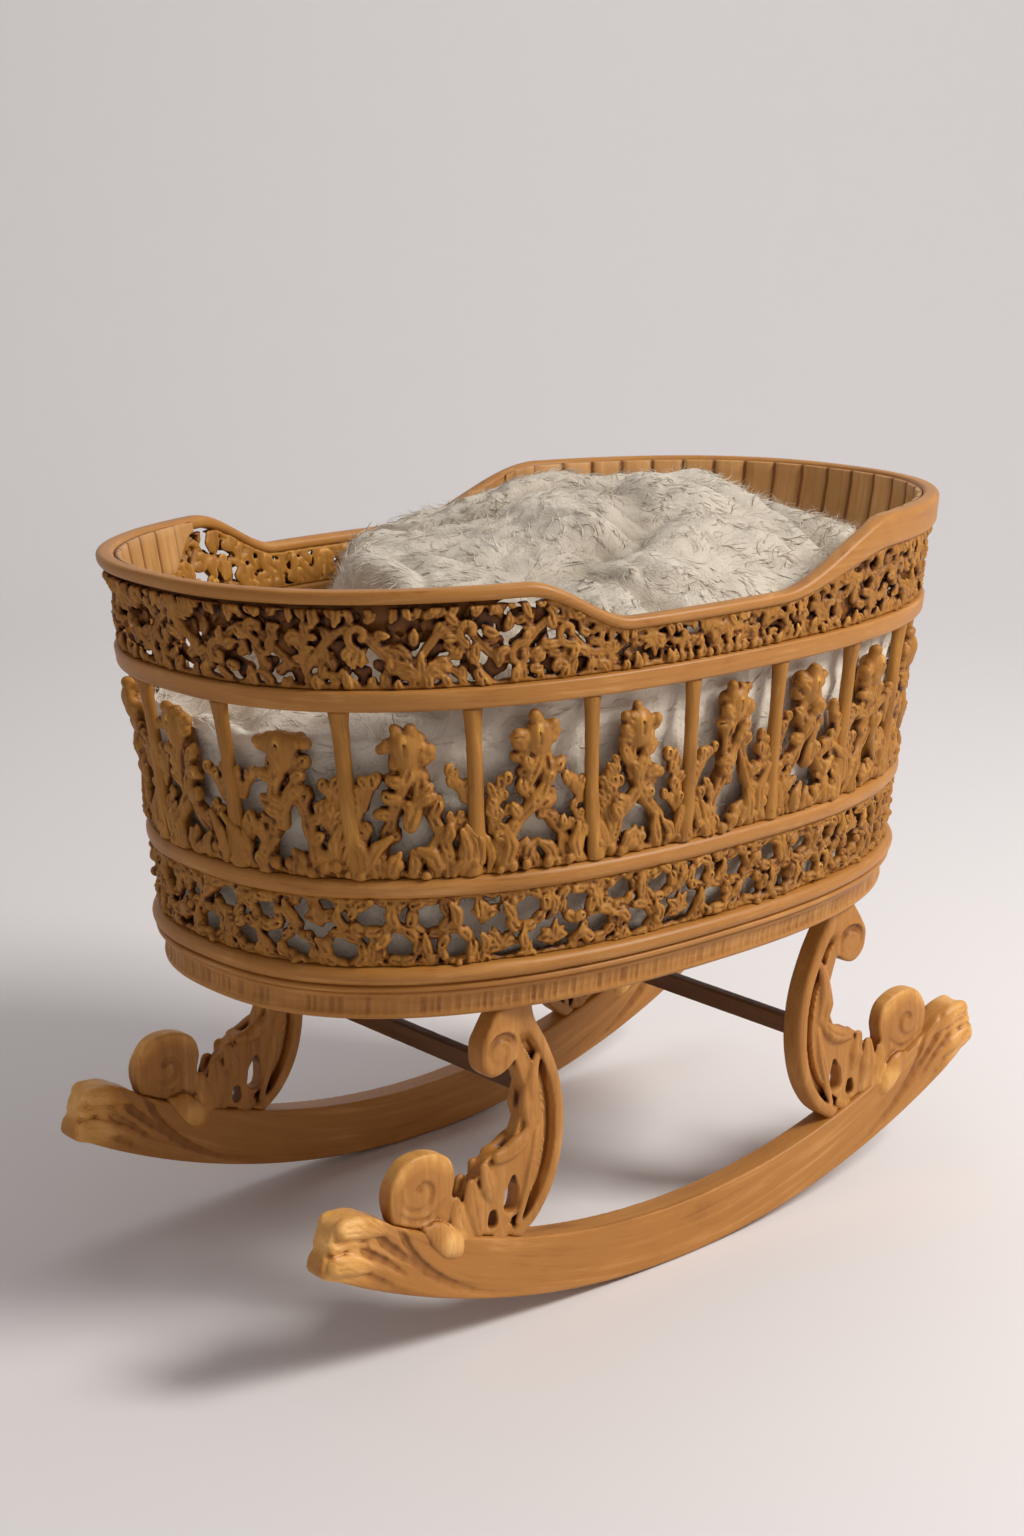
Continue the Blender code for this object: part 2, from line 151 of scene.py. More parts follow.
# ---- mesh helpers ------------------------------------------------------------------------------
def make_piece(name, points, quads, finish, grain=None, tone=None, body="cradle"):
    """A smooth-shaded mesh with its wood direction (grain) and its tone stored on it: painted shade and light, with
    the material's own lighter and darker places.
    """
    mesh = bpy.data.meshes.new(name)
    points = np.asarray(points, np.float32)
    quads = np.asarray(quads, np.int32)
    mesh.vertices.add(len(points))
    mesh.vertices.foreach_set("co", points.ravel())
    mesh.loops.add(quads.size)
    mesh.loops.foreach_set("vertex_index", quads.ravel())
    mesh.polygons.add(len(quads))
    mesh.polygons.foreach_set("loop_start", np.arange(0, quads.size, quads.shape[1], dtype=np.int32))
    mesh.update(calc_edges=True)
    mesh.validate()
    store(mesh, "grain", "FLOAT_VECTOR", points if grain is None else grain)
    store(mesh, "tone", "FLOAT", np.full(len(points), 0.6) if tone is None else tone)
    mesh.shade_smooth()
    piece = bpy.data.objects.new(name, mesh)
    piece.data.materials.append(finish)
    bpy.context.scene.collection.objects.link(piece)
    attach(piece, body)
    return piece


def store(mesh, name, kind, values):
    layer = mesh.attributes.new(name, kind, "POINT")
    layer.data.foreach_set("vector" if kind == "FLOAT_VECTOR" else "value",
                           np.asarray(values, np.float32).ravel())


def grid_quads(rows, columns, wrap_rows, wrap_columns):
    """Faces of a rows by columns grid of points, closed round either way."""
    i = np.arange(rows if wrap_rows else rows - 1)
    j = np.arange(columns if wrap_columns else columns - 1)
    i, j = np.meshgrid(i, j, indexing="ij")
    i, j = i.ravel(), j.ravel()
    k, m = (i + 1) % rows, (j + 1) % columns
    return np.stack([i * columns + j, k * columns + j, k * columns + m, i * columns + m], axis=1)


def rounded_section(low, high, inner, outer, radius, steps=4):
    """A rounded rectangle as (outwards, height) points, anticlockwise from its lower outer corner."""
    corners = [
        (outer - radius, low + radius, -90.0), (outer - radius, high - radius, 0.0),
        (inner + radius, high - radius, 90.0), (inner + radius, low + radius, 180.0),
    ]
    points = []
    for out, z, start in corners:
        for k in range(steps + 1):
            turn = math.radians(start + 90.0 * k / steps)
            points.append((out + radius * math.cos(turn), z + radius * math.sin(turn)))
    return np.array(points)


def sweep(name, section_at, finish, count=480, span=None, tone=None):
    """A band round the wall, or along a span of it, from its section at each place."""
    closed = span is None
    start, end = (0.0, GIRTH) if closed else span
    alongs = np.linspace(start, end, count, endpoint=not closed)
    sections = np.stack([section_at(along) for along in alongs])
    size = sections.shape[1]
    along = np.repeat(alongs, size).reshape(count, size)
    points = on_wall(along, sections[..., 1], sections[..., 0]).reshape(-1, 3)
    quads = grid_quads(count, size, closed, True)
    grain = np.stack([along, sections[..., 1], sections[..., 0]], axis=-1).reshape(-1, 3)
    if not closed:
        points, grain, caps = with_caps(points, grain, count, size)
        quads = np.concatenate([quads, caps])
    shade = None if tone is None else tone(grain)
    return make_piece(name, points, quads, finish, grain, shade)


def with_caps(points, grain, count, size):
    """Close both ends of an open band: each end's loop joins its own middle point."""
    last = (count - 1) * size
    middles = [points[:size].mean(axis=0), points[last:last + size].mean(axis=0)]
    grains = [grain[:size].mean(axis=0), grain[last:last + size].mean(axis=0)]
    first_middle = len(points)
    points = np.concatenate([points, middles])
    grain = np.concatenate([grain, grains])
    caps = []
    for j in range(0, size, 2):
        one, two, three = j, (j + 1) % size, (j + 2) % size
        caps.append((one, two, three, first_middle))
        caps.append((last + three, last + two, last + one, first_middle + 1))
    return points, grain, np.array(caps)


# ---- materials ---------------------------------------------------------------------------------
GRAIN_DEPTH = 0.0004


class Finish:
    """A material being mixed from the wood direction (grain) and the tone on a mesh, which holds painted shade and
    light.
    """

    def __init__(self, name):
        self.material = bpy.data.materials.new(name)
        self.material.use_nodes = True
        self.nodes = self.material.node_tree.nodes
        self.links = self.material.node_tree.links
        self.shader = self.nodes["Principled BSDF"]

    def fill(self, node, inputs):
        """Set a node's inputs, each to another node's output or to a plain value."""
        for name, value in inputs.items():
            if isinstance(value, bpy.types.NodeSocket):
                self.links.new(value, node.inputs[name])
            else:
                node.inputs[name].default_value = value
        return node.outputs

    def add(self, kind, inputs, **settings):
        node = self.nodes.new(kind)
        for name, value in settings.items():
            setattr(node, name, value)
        return self.fill(node, inputs)

    def stored(self, name, output):
        """What the mesh stores under a name."""
        return self.add("ShaderNodeAttribute", {}, attribute_name=name)[output]

    def streaks(self, scale, detail, roughness=0.6):
        """Noise stretched by scale along, across and into the wood."""
        place = self.add("ShaderNodeMapping", {"Scale": scale, "Vector": self.stored("grain", "Vector")})
        noise = {"Scale": 1.0, "Detail": detail, "Roughness": roughness, "Distortion": 0.6}
        return self.add("ShaderNodeTexNoise", {**noise, "Vector": place["Vector"]})["Fac"]

    def blend(self, one, two, share):
        return self.add("ShaderNodeMix", {"Factor": share, "A": one, "B": two}, data_type="FLOAT")["Result"]

    def ramp(self, value, stops):
        """The colour at a value; a stop is a place with a grey or a colour."""
        node = self.nodes.new("ShaderNodeValToRGB")
        node.color_ramp.interpolation = "EASE"
        while len(node.color_ramp.elements) < len(stops):
            node.color_ramp.elements.new(0.5)
        for element, (place, colour) in zip(node.color_ramp.elements, stops):
            element.position = place
            element.color = (*np.broadcast_to(colour, 3), 1.0)
        return self.fill(node, {"Fac": value})["Color"]

    def colour(self, figure, colours, toning):
        """The figure's colours, darkened or paled by the mesh's tone: painted shade and light, with some of the
        material's own tone.
        """
        base = self.ramp(figure, colours)
        tone = self.ramp(self.stored("tone", "Fac"), toning)
        inputs = {"Factor": 1.0, "A": base, "B": tone}
        toned = self.add("ShaderNodeMix", inputs, data_type="RGBA", blend_type="MULTIPLY")
        self.fill(self.shader, {"Base Color": toned["Result"]})

    def relief(self, height, strength, distance):
        bumped = self.add("ShaderNodeBump", {"Strength": strength, "Distance": distance, "Height": height})
        self.fill(self.shader, {"Normal": bumped["Normal"]})


def wood(name, dark, middle, light, recess_shade, roughness=0.42, stretch=1.0):
    """Oiled wood: long streaks, fine pores and blotches; painted shade darkens its recesses, and its thin edges are
    paler as wear and painted highlight.
    """
    finish = Finish(name)
    broad = finish.streaks((7.0 * stretch, 120.0, 90.0), 5.0)
    pores = finish.streaks((70.0 * stretch, 1100.0, 900.0), 3.0, 0.7)
    blotch = finish.streaks((14.0, 22.0, 22.0), 3.0)
    figure = finish.blend(finish.blend(broad, pores, 0.25), blotch, 0.30)
    # From the mesh's tone: painted shade in recesses at the low end, wear and painted highlight at the high end.
    painted_light_and_wear = [(0.0, recess_shade), (0.32, (0.50, 0.38, 0.24)), (0.56, 1.0), (0.78, (1.30, 1.38, 1.45)),
            (1.0, (1.75, 2.15, 2.75))]
    finish.colour(figure, [(0.30, dark), (0.50, middle), (0.68, light)], painted_light_and_wear)
    sheen = {
        "Value": figure,
        "From Min": 0.3,
        "From Max": 0.7,
        "To Min": roughness - 0.07,
        "To Max": roughness + 0.13,
    }
    finish.fill(finish.shader, {
        "Roughness": finish.add("ShaderNodeMapRange", sheen)["Result"],
        "Specular IOR Level": 0.28,
        "Coat Weight": 0.05,
        "Coat Roughness": 0.28,
    })
    finish.relief(finish.blend(broad, pores, 0.5), 0.55, GRAIN_DEPTH)
    return finish.material


def wool(name):
    """Felted cream wool: soft and matt; painted shade makes it greyer and darker in its creases, and painted light
    makes its sides paler.
    """
    finish = Finish(name)
    clouds = finish.streaks((26.0, 26.0, 26.0), 4.0)
    strands = finish.streaks((420.0, 150.0, 260.0), 6.0, 0.7)
    finish.colour(
        finish.blend(clouds, strands, 0.4),
        [(0.30, (0.72, 0.64, 0.52)), (0.50, (0.84, 0.77, 0.66)), (0.70, (0.92, 0.87, 0.77))],
        # Painted shade at low tone; painted light at full tone.
        [(0.0, (0.42, 0.38, 0.33)), (0.5, (0.74, 0.71, 0.67)), (0.85, (0.92, 0.91, 0.90)),
         (1.0, (1.05, 1.04, 1.02))])
    finish.fill(finish.shader, {
        "Roughness": finish.ramp(strands, [(0.3, 0.84), (0.7, 0.98)]),
        "Specular IOR Level": 0.15,
        "Sheen Weight": 0.35,
        "Sheen Roughness": 0.6,
        "Sheen Tint": (1.0, 0.97, 0.92, 1.0),
    })
    finish.relief(strands, 0.9, 0.0022)
    return finish.material


def woven(name):
    """Unbleached cotton: a fine plain weave with slubs and soft sheen."""
    finish = Finish(name)
    warp = finish.streaks((70.0, 900.0, 400.0), 3.0)
    weft = finish.streaks((900.0, 70.0, 400.0), 3.0)
    threads = finish.blend(warp, weft, 0.5)
    # The second ramp is painted shade from the mesh's tone, darker along the sewn channels.
    finish.colour(
        threads,
        [(0.35, (0.60, 0.54, 0.44)), (0.50, (0.72, 0.67, 0.57)), (0.65, (0.80, 0.76, 0.67))],
        [(0.2, (0.60, 0.57, 0.52)), (0.75, 1.0)])
    finish.fill(finish.shader, {
        "Roughness": finish.ramp(threads, [(0.3, 0.74), (0.7, 0.92)]),
        "Sheen Weight": 0.25,
        "Sheen Roughness": 0.5,
    })
    finish.relief(threads, 0.5, 0.0006)
    return finish.material


# The last colour of each wood is the painted shade in its recesses.
RAIL_WOOD = wood("rail_wood", (0.25, 0.088, 0.014), (0.40, 0.170, 0.035), (0.54, 0.265, 0.078),
                 (0.22, 0.13, 0.07))
CARVED_WOOD = wood("carved_wood", (0.20, 0.070, 0.008), (0.34, 0.142, 0.020), (0.50, 0.235, 0.045),
                   (0.060, 0.022, 0.006), roughness=0.50, stretch=2.0)
STAVE_WOOD = wood("stave_wood", (0.34, 0.150, 0.044), (0.48, 0.240, 0.080), (0.58, 0.320, 0.130),
                  (0.12, 0.07, 0.035))
LEG_WOOD = wood("leg_wood", (0.26, 0.092, 0.015), (0.41, 0.172, 0.036), (0.54, 0.262, 0.078),
                (0.10, 0.050, 0.020))
ROCKER_WOOD = wood("rocker_wood", (0.26, 0.092, 0.015), (0.42, 0.177, 0.037), (0.56, 0.270, 0.080),
                   (0.12, 0.065, 0.030))
BOARD_WOOD = wood("board_wood", (0.15, 0.070, 0.028), (0.23, 0.110, 0.045), (0.30, 0.155, 0.068),
                  (0.3, 0.25, 0.2), roughness=0.6)
DARK_WOOD = wood("stretcher_wood", (0.075, 0.030, 0.009), (0.13, 0.052, 0.016), (0.19, 0.080, 0.026),
                 (0.5, 0.4, 0.3))
FLEECE_WOOL = wool("fleece_wool")
PAD_CLOTH = woven("pad_cloth")


# ---- carving -----------------------------------------------------------------------------------
EDGE_DEPTH = 0.0024              # how thin an edge is where it begins to be painted paler, as wear and painted highlight


class Block:
    """A block being carved: a grid of distances to its wood, in (along, outwards, height)."""

    def __init__(self, low, high, step):
        self.low = np.array(low, float)
        self.step = step
        self.size = np.ceil((np.array(high, float) - self.low) / step).astype(int) + 1
        self.field = np.full(self.size, 0.05, np.float32)

    def near(self, points, margin):
        """The cells within a margin of some points, and the places of those cells."""
        points = np.atleast_2d(points)
        first = np.floor((points.min(axis=0) - margin - self.low) / self.step).astype(int)
        last = np.ceil((points.max(axis=0) + margin - self.low) / self.step).astype(int) + 1
        first, last = np.clip(first, 0, self.size), np.clip(last, 0, self.size)
        if (last <= first).any():
            return None, None
        cells = tuple(slice(a, b) for a, b in zip(first, last))
        axes = [self.low[k] + self.step * np.arange(first[k], last[k]) for k in range(3)]
        return cells, np.meshgrid(*axes, indexing="ij", sparse=True)

    def add(self, cells, shape, blend=0.0):
        here = self.field[cells]
        if blend:
            share = np.clip(0.5 + 0.5 * (here - shape) / blend, 0.0, 1.0)
            here[...] = here + (shape - here) * share - blend * share * (1.0 - share)
        else:
            np.minimum(here, shape, out=here)

    def cut(self, cells, shape, blend=0.0):
        here = self.field[cells]
        if blend:
            share = np.clip(0.5 - 0.5 * (here + shape) / blend, 0.0, 1.0)
            here[...] = here + (-shape - here) * share + blend * share * (1.0 - share)
        else:
            np.maximum(here, -shape, out=here)

    def sample(self, points):
        """The distance at any places, between the grid's own."""
        spot = (points - self.low) / self.step
        spot = np.clip(spot, 0.0, self.size - 1.001)
        cell = spot.astype(int)
        part = spot - cell
        value = np.zeros(len(points))
        for corner in np.ndindex(2, 2, 2):
            share = np.prod(np.where(corner, part, 1.0 - part), axis=1)
            i, j, k = (cell + corner).T
            value += share * self.field[i, j, k]
        return value

    def slope(self, points):
        """The unit direction straight out of the wood at some places."""
        small = self.step * 0.7
        rise = [self.sample(points + small * axis) - self.sample(points - small * axis) for axis in np.eye(3)]
        rise = np.stack(rise, axis=1)
        return rise / np.maximum(np.linalg.norm(rise, axis=1, keepdims=True), 1e-9)

    def surface(self):
        """The wood's skin as points and four-sided faces: one point in each cell that the skin crosses."""
        field = self.field.copy()
        for axis in range(3):
            ends = [slice(None)] * 3
            ends[axis] = [0, -1]
            field[tuple(ends)] = np.maximum(field[tuple(ends)], self.step * 0.02)
        inside = field < 0.0
        cells = tuple(self.size - 1)
        corners = list(np.ndindex(2, 2, 2))
        shifted = [tuple(slice(c, c + n) for c, n in zip(corner, cells)) for corner in corners]
        count = sum(inside[part].astype(int) for part in shifted)
        mixed = (count > 0) & (count < 8)
        index = np.full(cells, -1)
        index[mixed] = np.arange(mixed.sum())
        home = np.argwhere(mixed)
        total = np.zeros((len(home), 3))
        crossings = np.zeros((len(home), 1))
        for start in corners:
            for axis in range(3):
                if start[axis]:
                    continue
                end = list(start)
                end[axis] = 1
                one = field[tuple((home + start).T)]
                two = field[tuple((home + end).T)]
                crossed = (one < 0.0) != (two < 0.0)
                share = np.where(crossed, one / np.where(crossed, one - two, 1.0), 0.0)
                place = np.array(start) + np.outer(share, np.eye(3)[axis])
                total += place * crossed[:, None]
                crossings += crossed[:, None]
        points = self.low + self.step * (home + total / crossings)
        quads = []
        for axis in range(3):
            ahead, behind = [slice(None)] * 3, [slice(None)] * 3
            ahead[axis], behind[axis] = slice(1, None), slice(None, -1)
            changed = inside[tuple(ahead)] != inside[tuple(behind)]
            edges = np.argwhere(changed)
            u, v = [k for k in range(3) if k != axis]
            edges = edges[(edges[:, u] > 0) & (edges[:, v] > 0)]
            edges = edges[(edges[:, u] < cells[u]) & (edges[:, v] < cells[v])]
            step_u, step_v = np.eye(3, dtype=int)[u], np.eye(3, dtype=int)[v]
            around = [edges - step_u - step_v, edges - step_v, edges, edges - step_u]
            faces = np.stack([index[tuple(spot.T)] for spot in around], axis=1)
            facing = inside[tuple(edges.T)] != (axis == 1)
            faces[~facing] = faces[~facing][:, ::-1]
            quads.append(faces)
        return points, np.concatenate(quads)

    def tone(self, points, reach=0.0065):
        """Painted shade: dark in recesses, 0.6 on open wood; up to 1 on thin edges, paler there as wear and painted
        highlight.
        """
        out = self.slope(points)
        high = self.low + self.step * (self.size - 1)
        # Painted shade: the less open space a point sees round it, the darker it is.
        opened = 0.0
        for share, far in ((0.25, reach * 0.45), (0.75, reach)):
            spot = points + out * far
            beyond = ((spot < self.low) | (spot > high)).any(axis=1)
            opened = opened + share * np.where(beyond, 1.0, np.clip(self.sample(spot) / far, 0.0, 1.0))
        # Wear and painted highlight: the thinner the edge, the paler it is.
        edge = np.clip(1.0 + self.sample(points - out * EDGE_DEPTH) / EDGE_DEPTH, 0.0, 1.0)
        return 0.6 * opened + 0.4 * opened * np.clip(edge * 1.6 - 0.15, 0.0, 1.0)


def rope(grid, points, radii, squash=1.0):
    """Distance to a rope through points, with a radius at each; squash makes it thinner outwards."""
    x, y, z = grid
    best = None
    for a, b, thick_a, thick_b in zip(points[:-1], points[1:], radii[:-1], radii[1:]):
        run = b - a
        along = ((x - a[0]) * run[0] + (y - a[1]) * run[1] + (z - a[2]) * run[2]) / max(run @ run, 1e-12)
        along = np.clip(along, 0.0, 1.0)
        off_y = (y - a[1] - along * run[1]) * squash
        gap = np.sqrt((x - a[0] - along * run[0]) ** 2 + off_y ** 2 + (z - a[2] - along * run[2]) ** 2)
        gap = gap - thick_a - (thick_b - thick_a) * along
        best = gap if best is None else np.minimum(best, gap)
    return best


def stem(block, points, radii, squash=1.0, blend=0.0012, vein=0.0):
    """A long carved stem, with an optional gouged line down its front."""
    points = np.asarray(points, float)
    radii = np.broadcast_to(radii, len(points)).astype(float)
    for i in range(0, len(points) - 1, 3):
        part, thick = points[i:i + 4], radii[i:i + 4]
        cells, grid = block.near(part, thick.max() + 2.0 * block.step)
        if cells is None:
            continue
        shape = rope(grid, part, thick, squash)
        if vein:
            line = part + np.array([0.0, 1.0, 0.0]) * (thick / squash)[:, None]
            shape = np.maximum(shape, -rope(grid, line, thick * vein))
        block.add(cells, shape, blend)


LOBE_SHARES = np.array([0.0, 0.3, 0.65, 1.0])
LOBE_WIDTHS = np.array([0.55, 0.95, 1.0, 0.45])


def lobe(block, base, tip, width, bend=0.0, lift=0.0, vein=0.32, squash=1.15, blend=0.0007):
    """A rounded leaf lobe, widest past its middle, with a gouged vein down its front."""
    base, tip = np.asarray(base, float), np.asarray(tip, float)
    run = tip - base
    arc = (4.0 * LOBE_SHARES * (1.0 - LOBE_SHARES))[:, None]
    side = np.array([-run[2], 0.0, run[0]]) * bend
    points = base + run * LOBE_SHARES[:, None] + side * arc + np.array([0.0, lift, 0.0]) * arc
    radii = LOBE_WIDTHS * width / 2.0
    cells, grid = block.near(points, width / 2.0 + 2.0 * block.step)
    if cells is None:
        return
    shape = rope(grid, points, radii, squash)
    if vein:
        line = points[1:] + np.array([0.0, 1.0, 0.0]) * (radii[1:] / squash)[:, None]
        shape = np.maximum(shape, -rope(grid, line, radii[1:] * vein))
    block.add(cells, shape, blend)


def berry(block, place, radius, blend=0.0004):
    place = np.asarray(place, float)
    cells, grid = block.near(place, radius + 2.0 * block.step)
    if cells is None:
        return
    x, y, z = grid
    shape = np.sqrt((x - place[0]) ** 2 + (y - place[1]) ** 2 + (z - place[2]) ** 2) - radius
    block.add(cells, shape, blend)


def curl(centre, start_radius, start_turn, turns, way, depth, count=16):
    """Points of a scroll that winds inwards from its start."""
    t = np.linspace(0.0, 1.0, count)
    angle = start_turn + way * turns * 2.0 * math.pi * t
    radius = start_radius * (1.0 - 0.78 * t ** 0.85)
    x, z = centre[0] + radius * np.cos(angle), centre[1] + radius * np.sin(angle)
    return np.stack([x, depth + 0.0015 * t, z], axis=1)


def aimed(root, turn, long, out=0.0):
    """The place that a step from a root reaches, at a turn in the flat, standing out by so much more."""
    return np.asarray(root, float) + np.array([long * math.cos(turn), out, long * math.sin(turn)])


def taper(count, values, places=None):
    """Values drawn out over a line of points; their places along it run from 0 to 1."""
    places = np.linspace(0.0, 1.0, len(values)) if places is None else places
    return np.interp(np.linspace(0.0, 1.0, count), places, values)


def smooth_through(points, steps=6):
    """Points of a smooth curve through the given ones, ends included."""
    given = np.array(points, float)
    padded = np.concatenate([[given[0] * 2.0 - given[1]], given, [given[-1] * 2.0 - given[-2]]])
    made = []
    for i in range(1, len(padded) - 2):
        before, start, end, after = padded[i - 1:i + 3]
        for t in np.arange(steps) / steps:
            made.append(0.5 * (
                2.0 * start
                + (end - before) * t
                + (2.0 * before - 5.0 * start + 4.0 * end - after) * t ** 2
                + (3.0 * start - before - 3.0 * end + after) * t ** 3
            ))
    made.append(given[-1])
    return np.array(made)


def fan(block, root, heading, reach, spread, lobes, width, depth, wild=0.12):
    """A palmette: lobes that spread from a root point about a heading."""
    for i in range(lobes):
        share = i / (lobes - 1) - 0.5 if lobes > 1 else 0.0
        turn = heading + spread * share + rng.normal(0.0, wild)
        long = reach * (1.0 - 0.55 * abs(share)) * rng.uniform(0.85, 1.12)
        tip = aimed((root[0], depth, root[1]), turn, long, rng.uniform(-0.001, 0.0012))
        foot = (root[0], depth - 0.001, root[1])
        lobe(block, foot, tip, width * rng.uniform(0.85, 1.15), -share * 0.5, 0.001)


def band_of_blocks(low, high, faces, step):
    """Four blocks, one for each side of the wall, between two heights."""
    return {
        side: Block((side_span(side)[0], faces[0], low), (side_span(side)[1], faces[1], high), step)
        for side in SIDES
    }


def motif_numbers(side, pitch, origin=0.0):
    """The numbers of the motifs, a pitch apart, that reach into a side's panel."""
    start, end = side_span(side)
    return range(int((start - origin) / pitch) - 2, int((end - origin) / pitch) + 3)


def finish_blocks(blocks, name, front, back):
    """Skin each block, wrap it round the wall, and let it stand for the frame's piece."""
    for side, block in blocks.items():
        points, quads = block.surface()
        tone = block.tone(points)
        # Painted shade: darker the further back the wood lies, except on faces turned inwards.
        depth = np.clip((points[:, 1] - back) / (front - back), 0.0, 1.0)
        inward = ease(-0.2, 0.6, -block.slope(points)[:, 1])
        tone = tone * np.maximum(0.55 + 0.45 * depth, 0.98 * inward)
        grain = points[:, [2, 0, 1]]
        bent = on_wall(points[:, 0], points[:, 2], points[:, 1])
        piece = make_piece(f"{name}_{side}_carving", bent, quads, CARVED_WOOD, grain, tone)
        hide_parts(f"{name}_{side}")


# ---- upper frieze: running scrolls, palmettes and leaf clusters ---------------------------------
FRIEZE_STEP = 0.0014
UPPER_FACES = (-0.0125, 0.0076)
GROUND_DEPTH = -0.0100
SCROLL_COUNT = 52
SCROLL_PITCH = GIRTH / SCROLL_COUNT


def acanthus(block, spine, width, lobes, side=0.0, reach=1.4):
    """A carved leaf: a veined spine with rounded lobes that curl off one side (+1, -1) or both (0)."""
    spine = np.asarray(spine, float)
    count = len(spine)
    stem(block, spine, taper(count, (0.42, 0.40, 0.22), (0.0, 0.6, 1.0)) * width, 1.1, 0.0012, 0.30)
    for i in range(lobes):
        share = (i + 0.6) / lobes
        at = share * (count - 1)
        cell = min(int(at), count - 2)
        root = spine[cell] + (spine[cell + 1] - spine[cell]) * (at - cell)
        run = spine[cell + 1] - spine[cell]
        way = side if side else (1.0 if i % 2 else -1.0)
        turn = math.atan2(run[2], run[0]) + way * rng.uniform(0.65, 1.05)
        long = width * reach * (1.05 - 0.35 * share) * rng.uniform(0.85, 1.15)
        tip = aimed(root, turn, long, rng.uniform(-0.0005, 0.0022))
        lobe(block, root - np.array([0.0, 0.0012, 0.0]), tip, width * rng.uniform(0.85, 1.1),
             -way * rng.uniform(0.05, 0.30), 0.0012, 0.30)


def frieze_scroll(block, k):
    """A fat curl with an eyelet in its middle and leaves off its back, opening up and down in turn."""
    middle = (k + 0.5) * SCROLL_PITCH
    low, high = RING_UPPER[1], float(rim_bottom(middle))
    height = high - low
    way = 1.0 if k % 2 else -1.0
    size = 0.62 + 0.38 * min(1.0, height / 0.062)
    kind = rng.random()
    centre_x = middle + rng.uniform(-0.005, 0.005)
    centre = (centre_x, low + height * (0.5 - 0.17 * way) + rng.uniform(-0.003, 0.003))
    depth = rng.uniform(-0.0055, -0.0030)
    if kind < 0.42:
        radius = min(0.0135, height * 0.26) * rng.uniform(0.9, 1.1)
        start_turn = way * math.pi * 0.5 + rng.uniform(-0.6, 0.6)
        points = curl(centre, radius, start_turn, rng.uniform(0.75, 0.95), way, depth)
        stem(block, points, np.linspace(0.0046, 0.0030, len(points)) * size, 1.0, 0.0010, 0.32)
        berry(block, (points[-1][0], depth + 0.0018, points[-1][2]), 0.0042 * size)
        for i in range(5):
            turn = i * 2.0 * math.pi / 5.0 + rng.uniform(-0.5, 0.5)
            root = aimed((centre[0], depth - 0.001, centre[1]), turn, radius)
            heading = turn + way * rng.uniform(0.2, 0.9)
            long = rng.uniform(0.011, 0.016) * size
            tip = aimed(root, heading, long, rng.uniform(0.0, 0.004))
            lobe(block, root, tip, rng.uniform(0.0080, 0.0108) * size, rng.uniform(-0.25, 0.25), 0.0012)
    elif kind < 0.72:
        for turn in (0.35, -0.45):
            heading = way * (math.pi / 2.0) + turn * rng.uniform(0.8, 2.2)
            t = np.linspace(0.0, 1.0, 6)
            arc = heading + rng.choice([-1.0, 1.0]) * 1.1 * t
            long = height * rng.uniform(0.55, 0.72)
            steps = np.stack([np.cos(arc), np.zeros(6), np.sin(arc)], axis=1) * long / 6.0
            start = np.array([centre[0] + turn * 0.016, depth, (low if way > 0 else high) + way * 0.002])
            acanthus(block, start + np.cumsum(steps, axis=0), 0.0092 * size, 5)
    else:
        root = (centre[0], (low if way > 0 else high) + way * 0.006 * size)
        fan(block, root, way * math.pi / 2.0, 0.028 * size, 2.5, 5, 0.0100 * size, -0.0025, 0.08)
        for turn in (-1.0, 1.0):
            eye = (centre[0] + turn * 0.0165 * size, root[1] + way * 0.0075 * size)
            points = curl(eye, 0.0078 * size, math.pi / 2.0 - turn * 1.2, 0.8, turn * way, depth, 10)
            stem(block, points, np.linspace(0.0040, 0.0028, 10) * size, 1.0, 0.0008, 0.0)
    for i in range(9):
        x = middle + SCROLL_PITCH * (i / 9.0 - 0.45) + rng.uniform(-0.003, 0.003)
        z = low + height * rng.uniform(0.12, 0.88)
        heading = way * 1.2 + rng.uniform(-1.3, 1.3)
        long = rng.uniform(0.011, 0.018) * size
        root = np.array([x, rng.uniform(-0.0085, -0.0060), z])
        tip = aimed(root, heading, long, rng.uniform(0.000, 0.005))
        lobe(block, root, tip, rng.uniform(0.0090, 0.0122) * size, rng.uniform(-0.35, 0.35), 0.0012, 0.24)
    low_next = np.array([middle + SCROLL_PITCH, depth - 0.002, low + height * (0.5 + 0.20 * way)])
    start = np.array([middle, depth - 0.002, low + height * (0.5 - 0.20 * way)])
    t = np.linspace(0.0, 1.0, 6)[:, None]
    joined = start + (low_next - start) * t + np.array([0.0, 0.0, way * height * 0.16]) * np.sin(math.pi * t)
    stem(block, joined, 0.0046 * size, 1.1, 0.0014, 0.30)
    for edge, up in ((low, 1.0), (high, -1.0)):
        for i in range(4):
            x = middle + SCROLL_PITCH * (i / 4.0 - 0.375) + rng.uniform(-0.003, 0.003)
            if rng.random() < 0.14:
                continue
            long = rng.uniform(0.008, 0.020) * size
            heading = up * math.pi / 2.0 + rng.uniform(-0.8, 0.8)
            root = np.array([x, rng.uniform(-0.006, -0.003), edge])
            tip = aimed(root, heading, long, rng.uniform(0.001, 0.005))
            lobe(block, root, tip, rng.uniform(0.0078, 0.0112) * size, rng.uniform(-0.2, 0.2), 0.001)
            if up > 0.0 and size < 0.85:
                berry(block, (x + 0.006, -0.0008, edge + 0.0045), 0.0048)


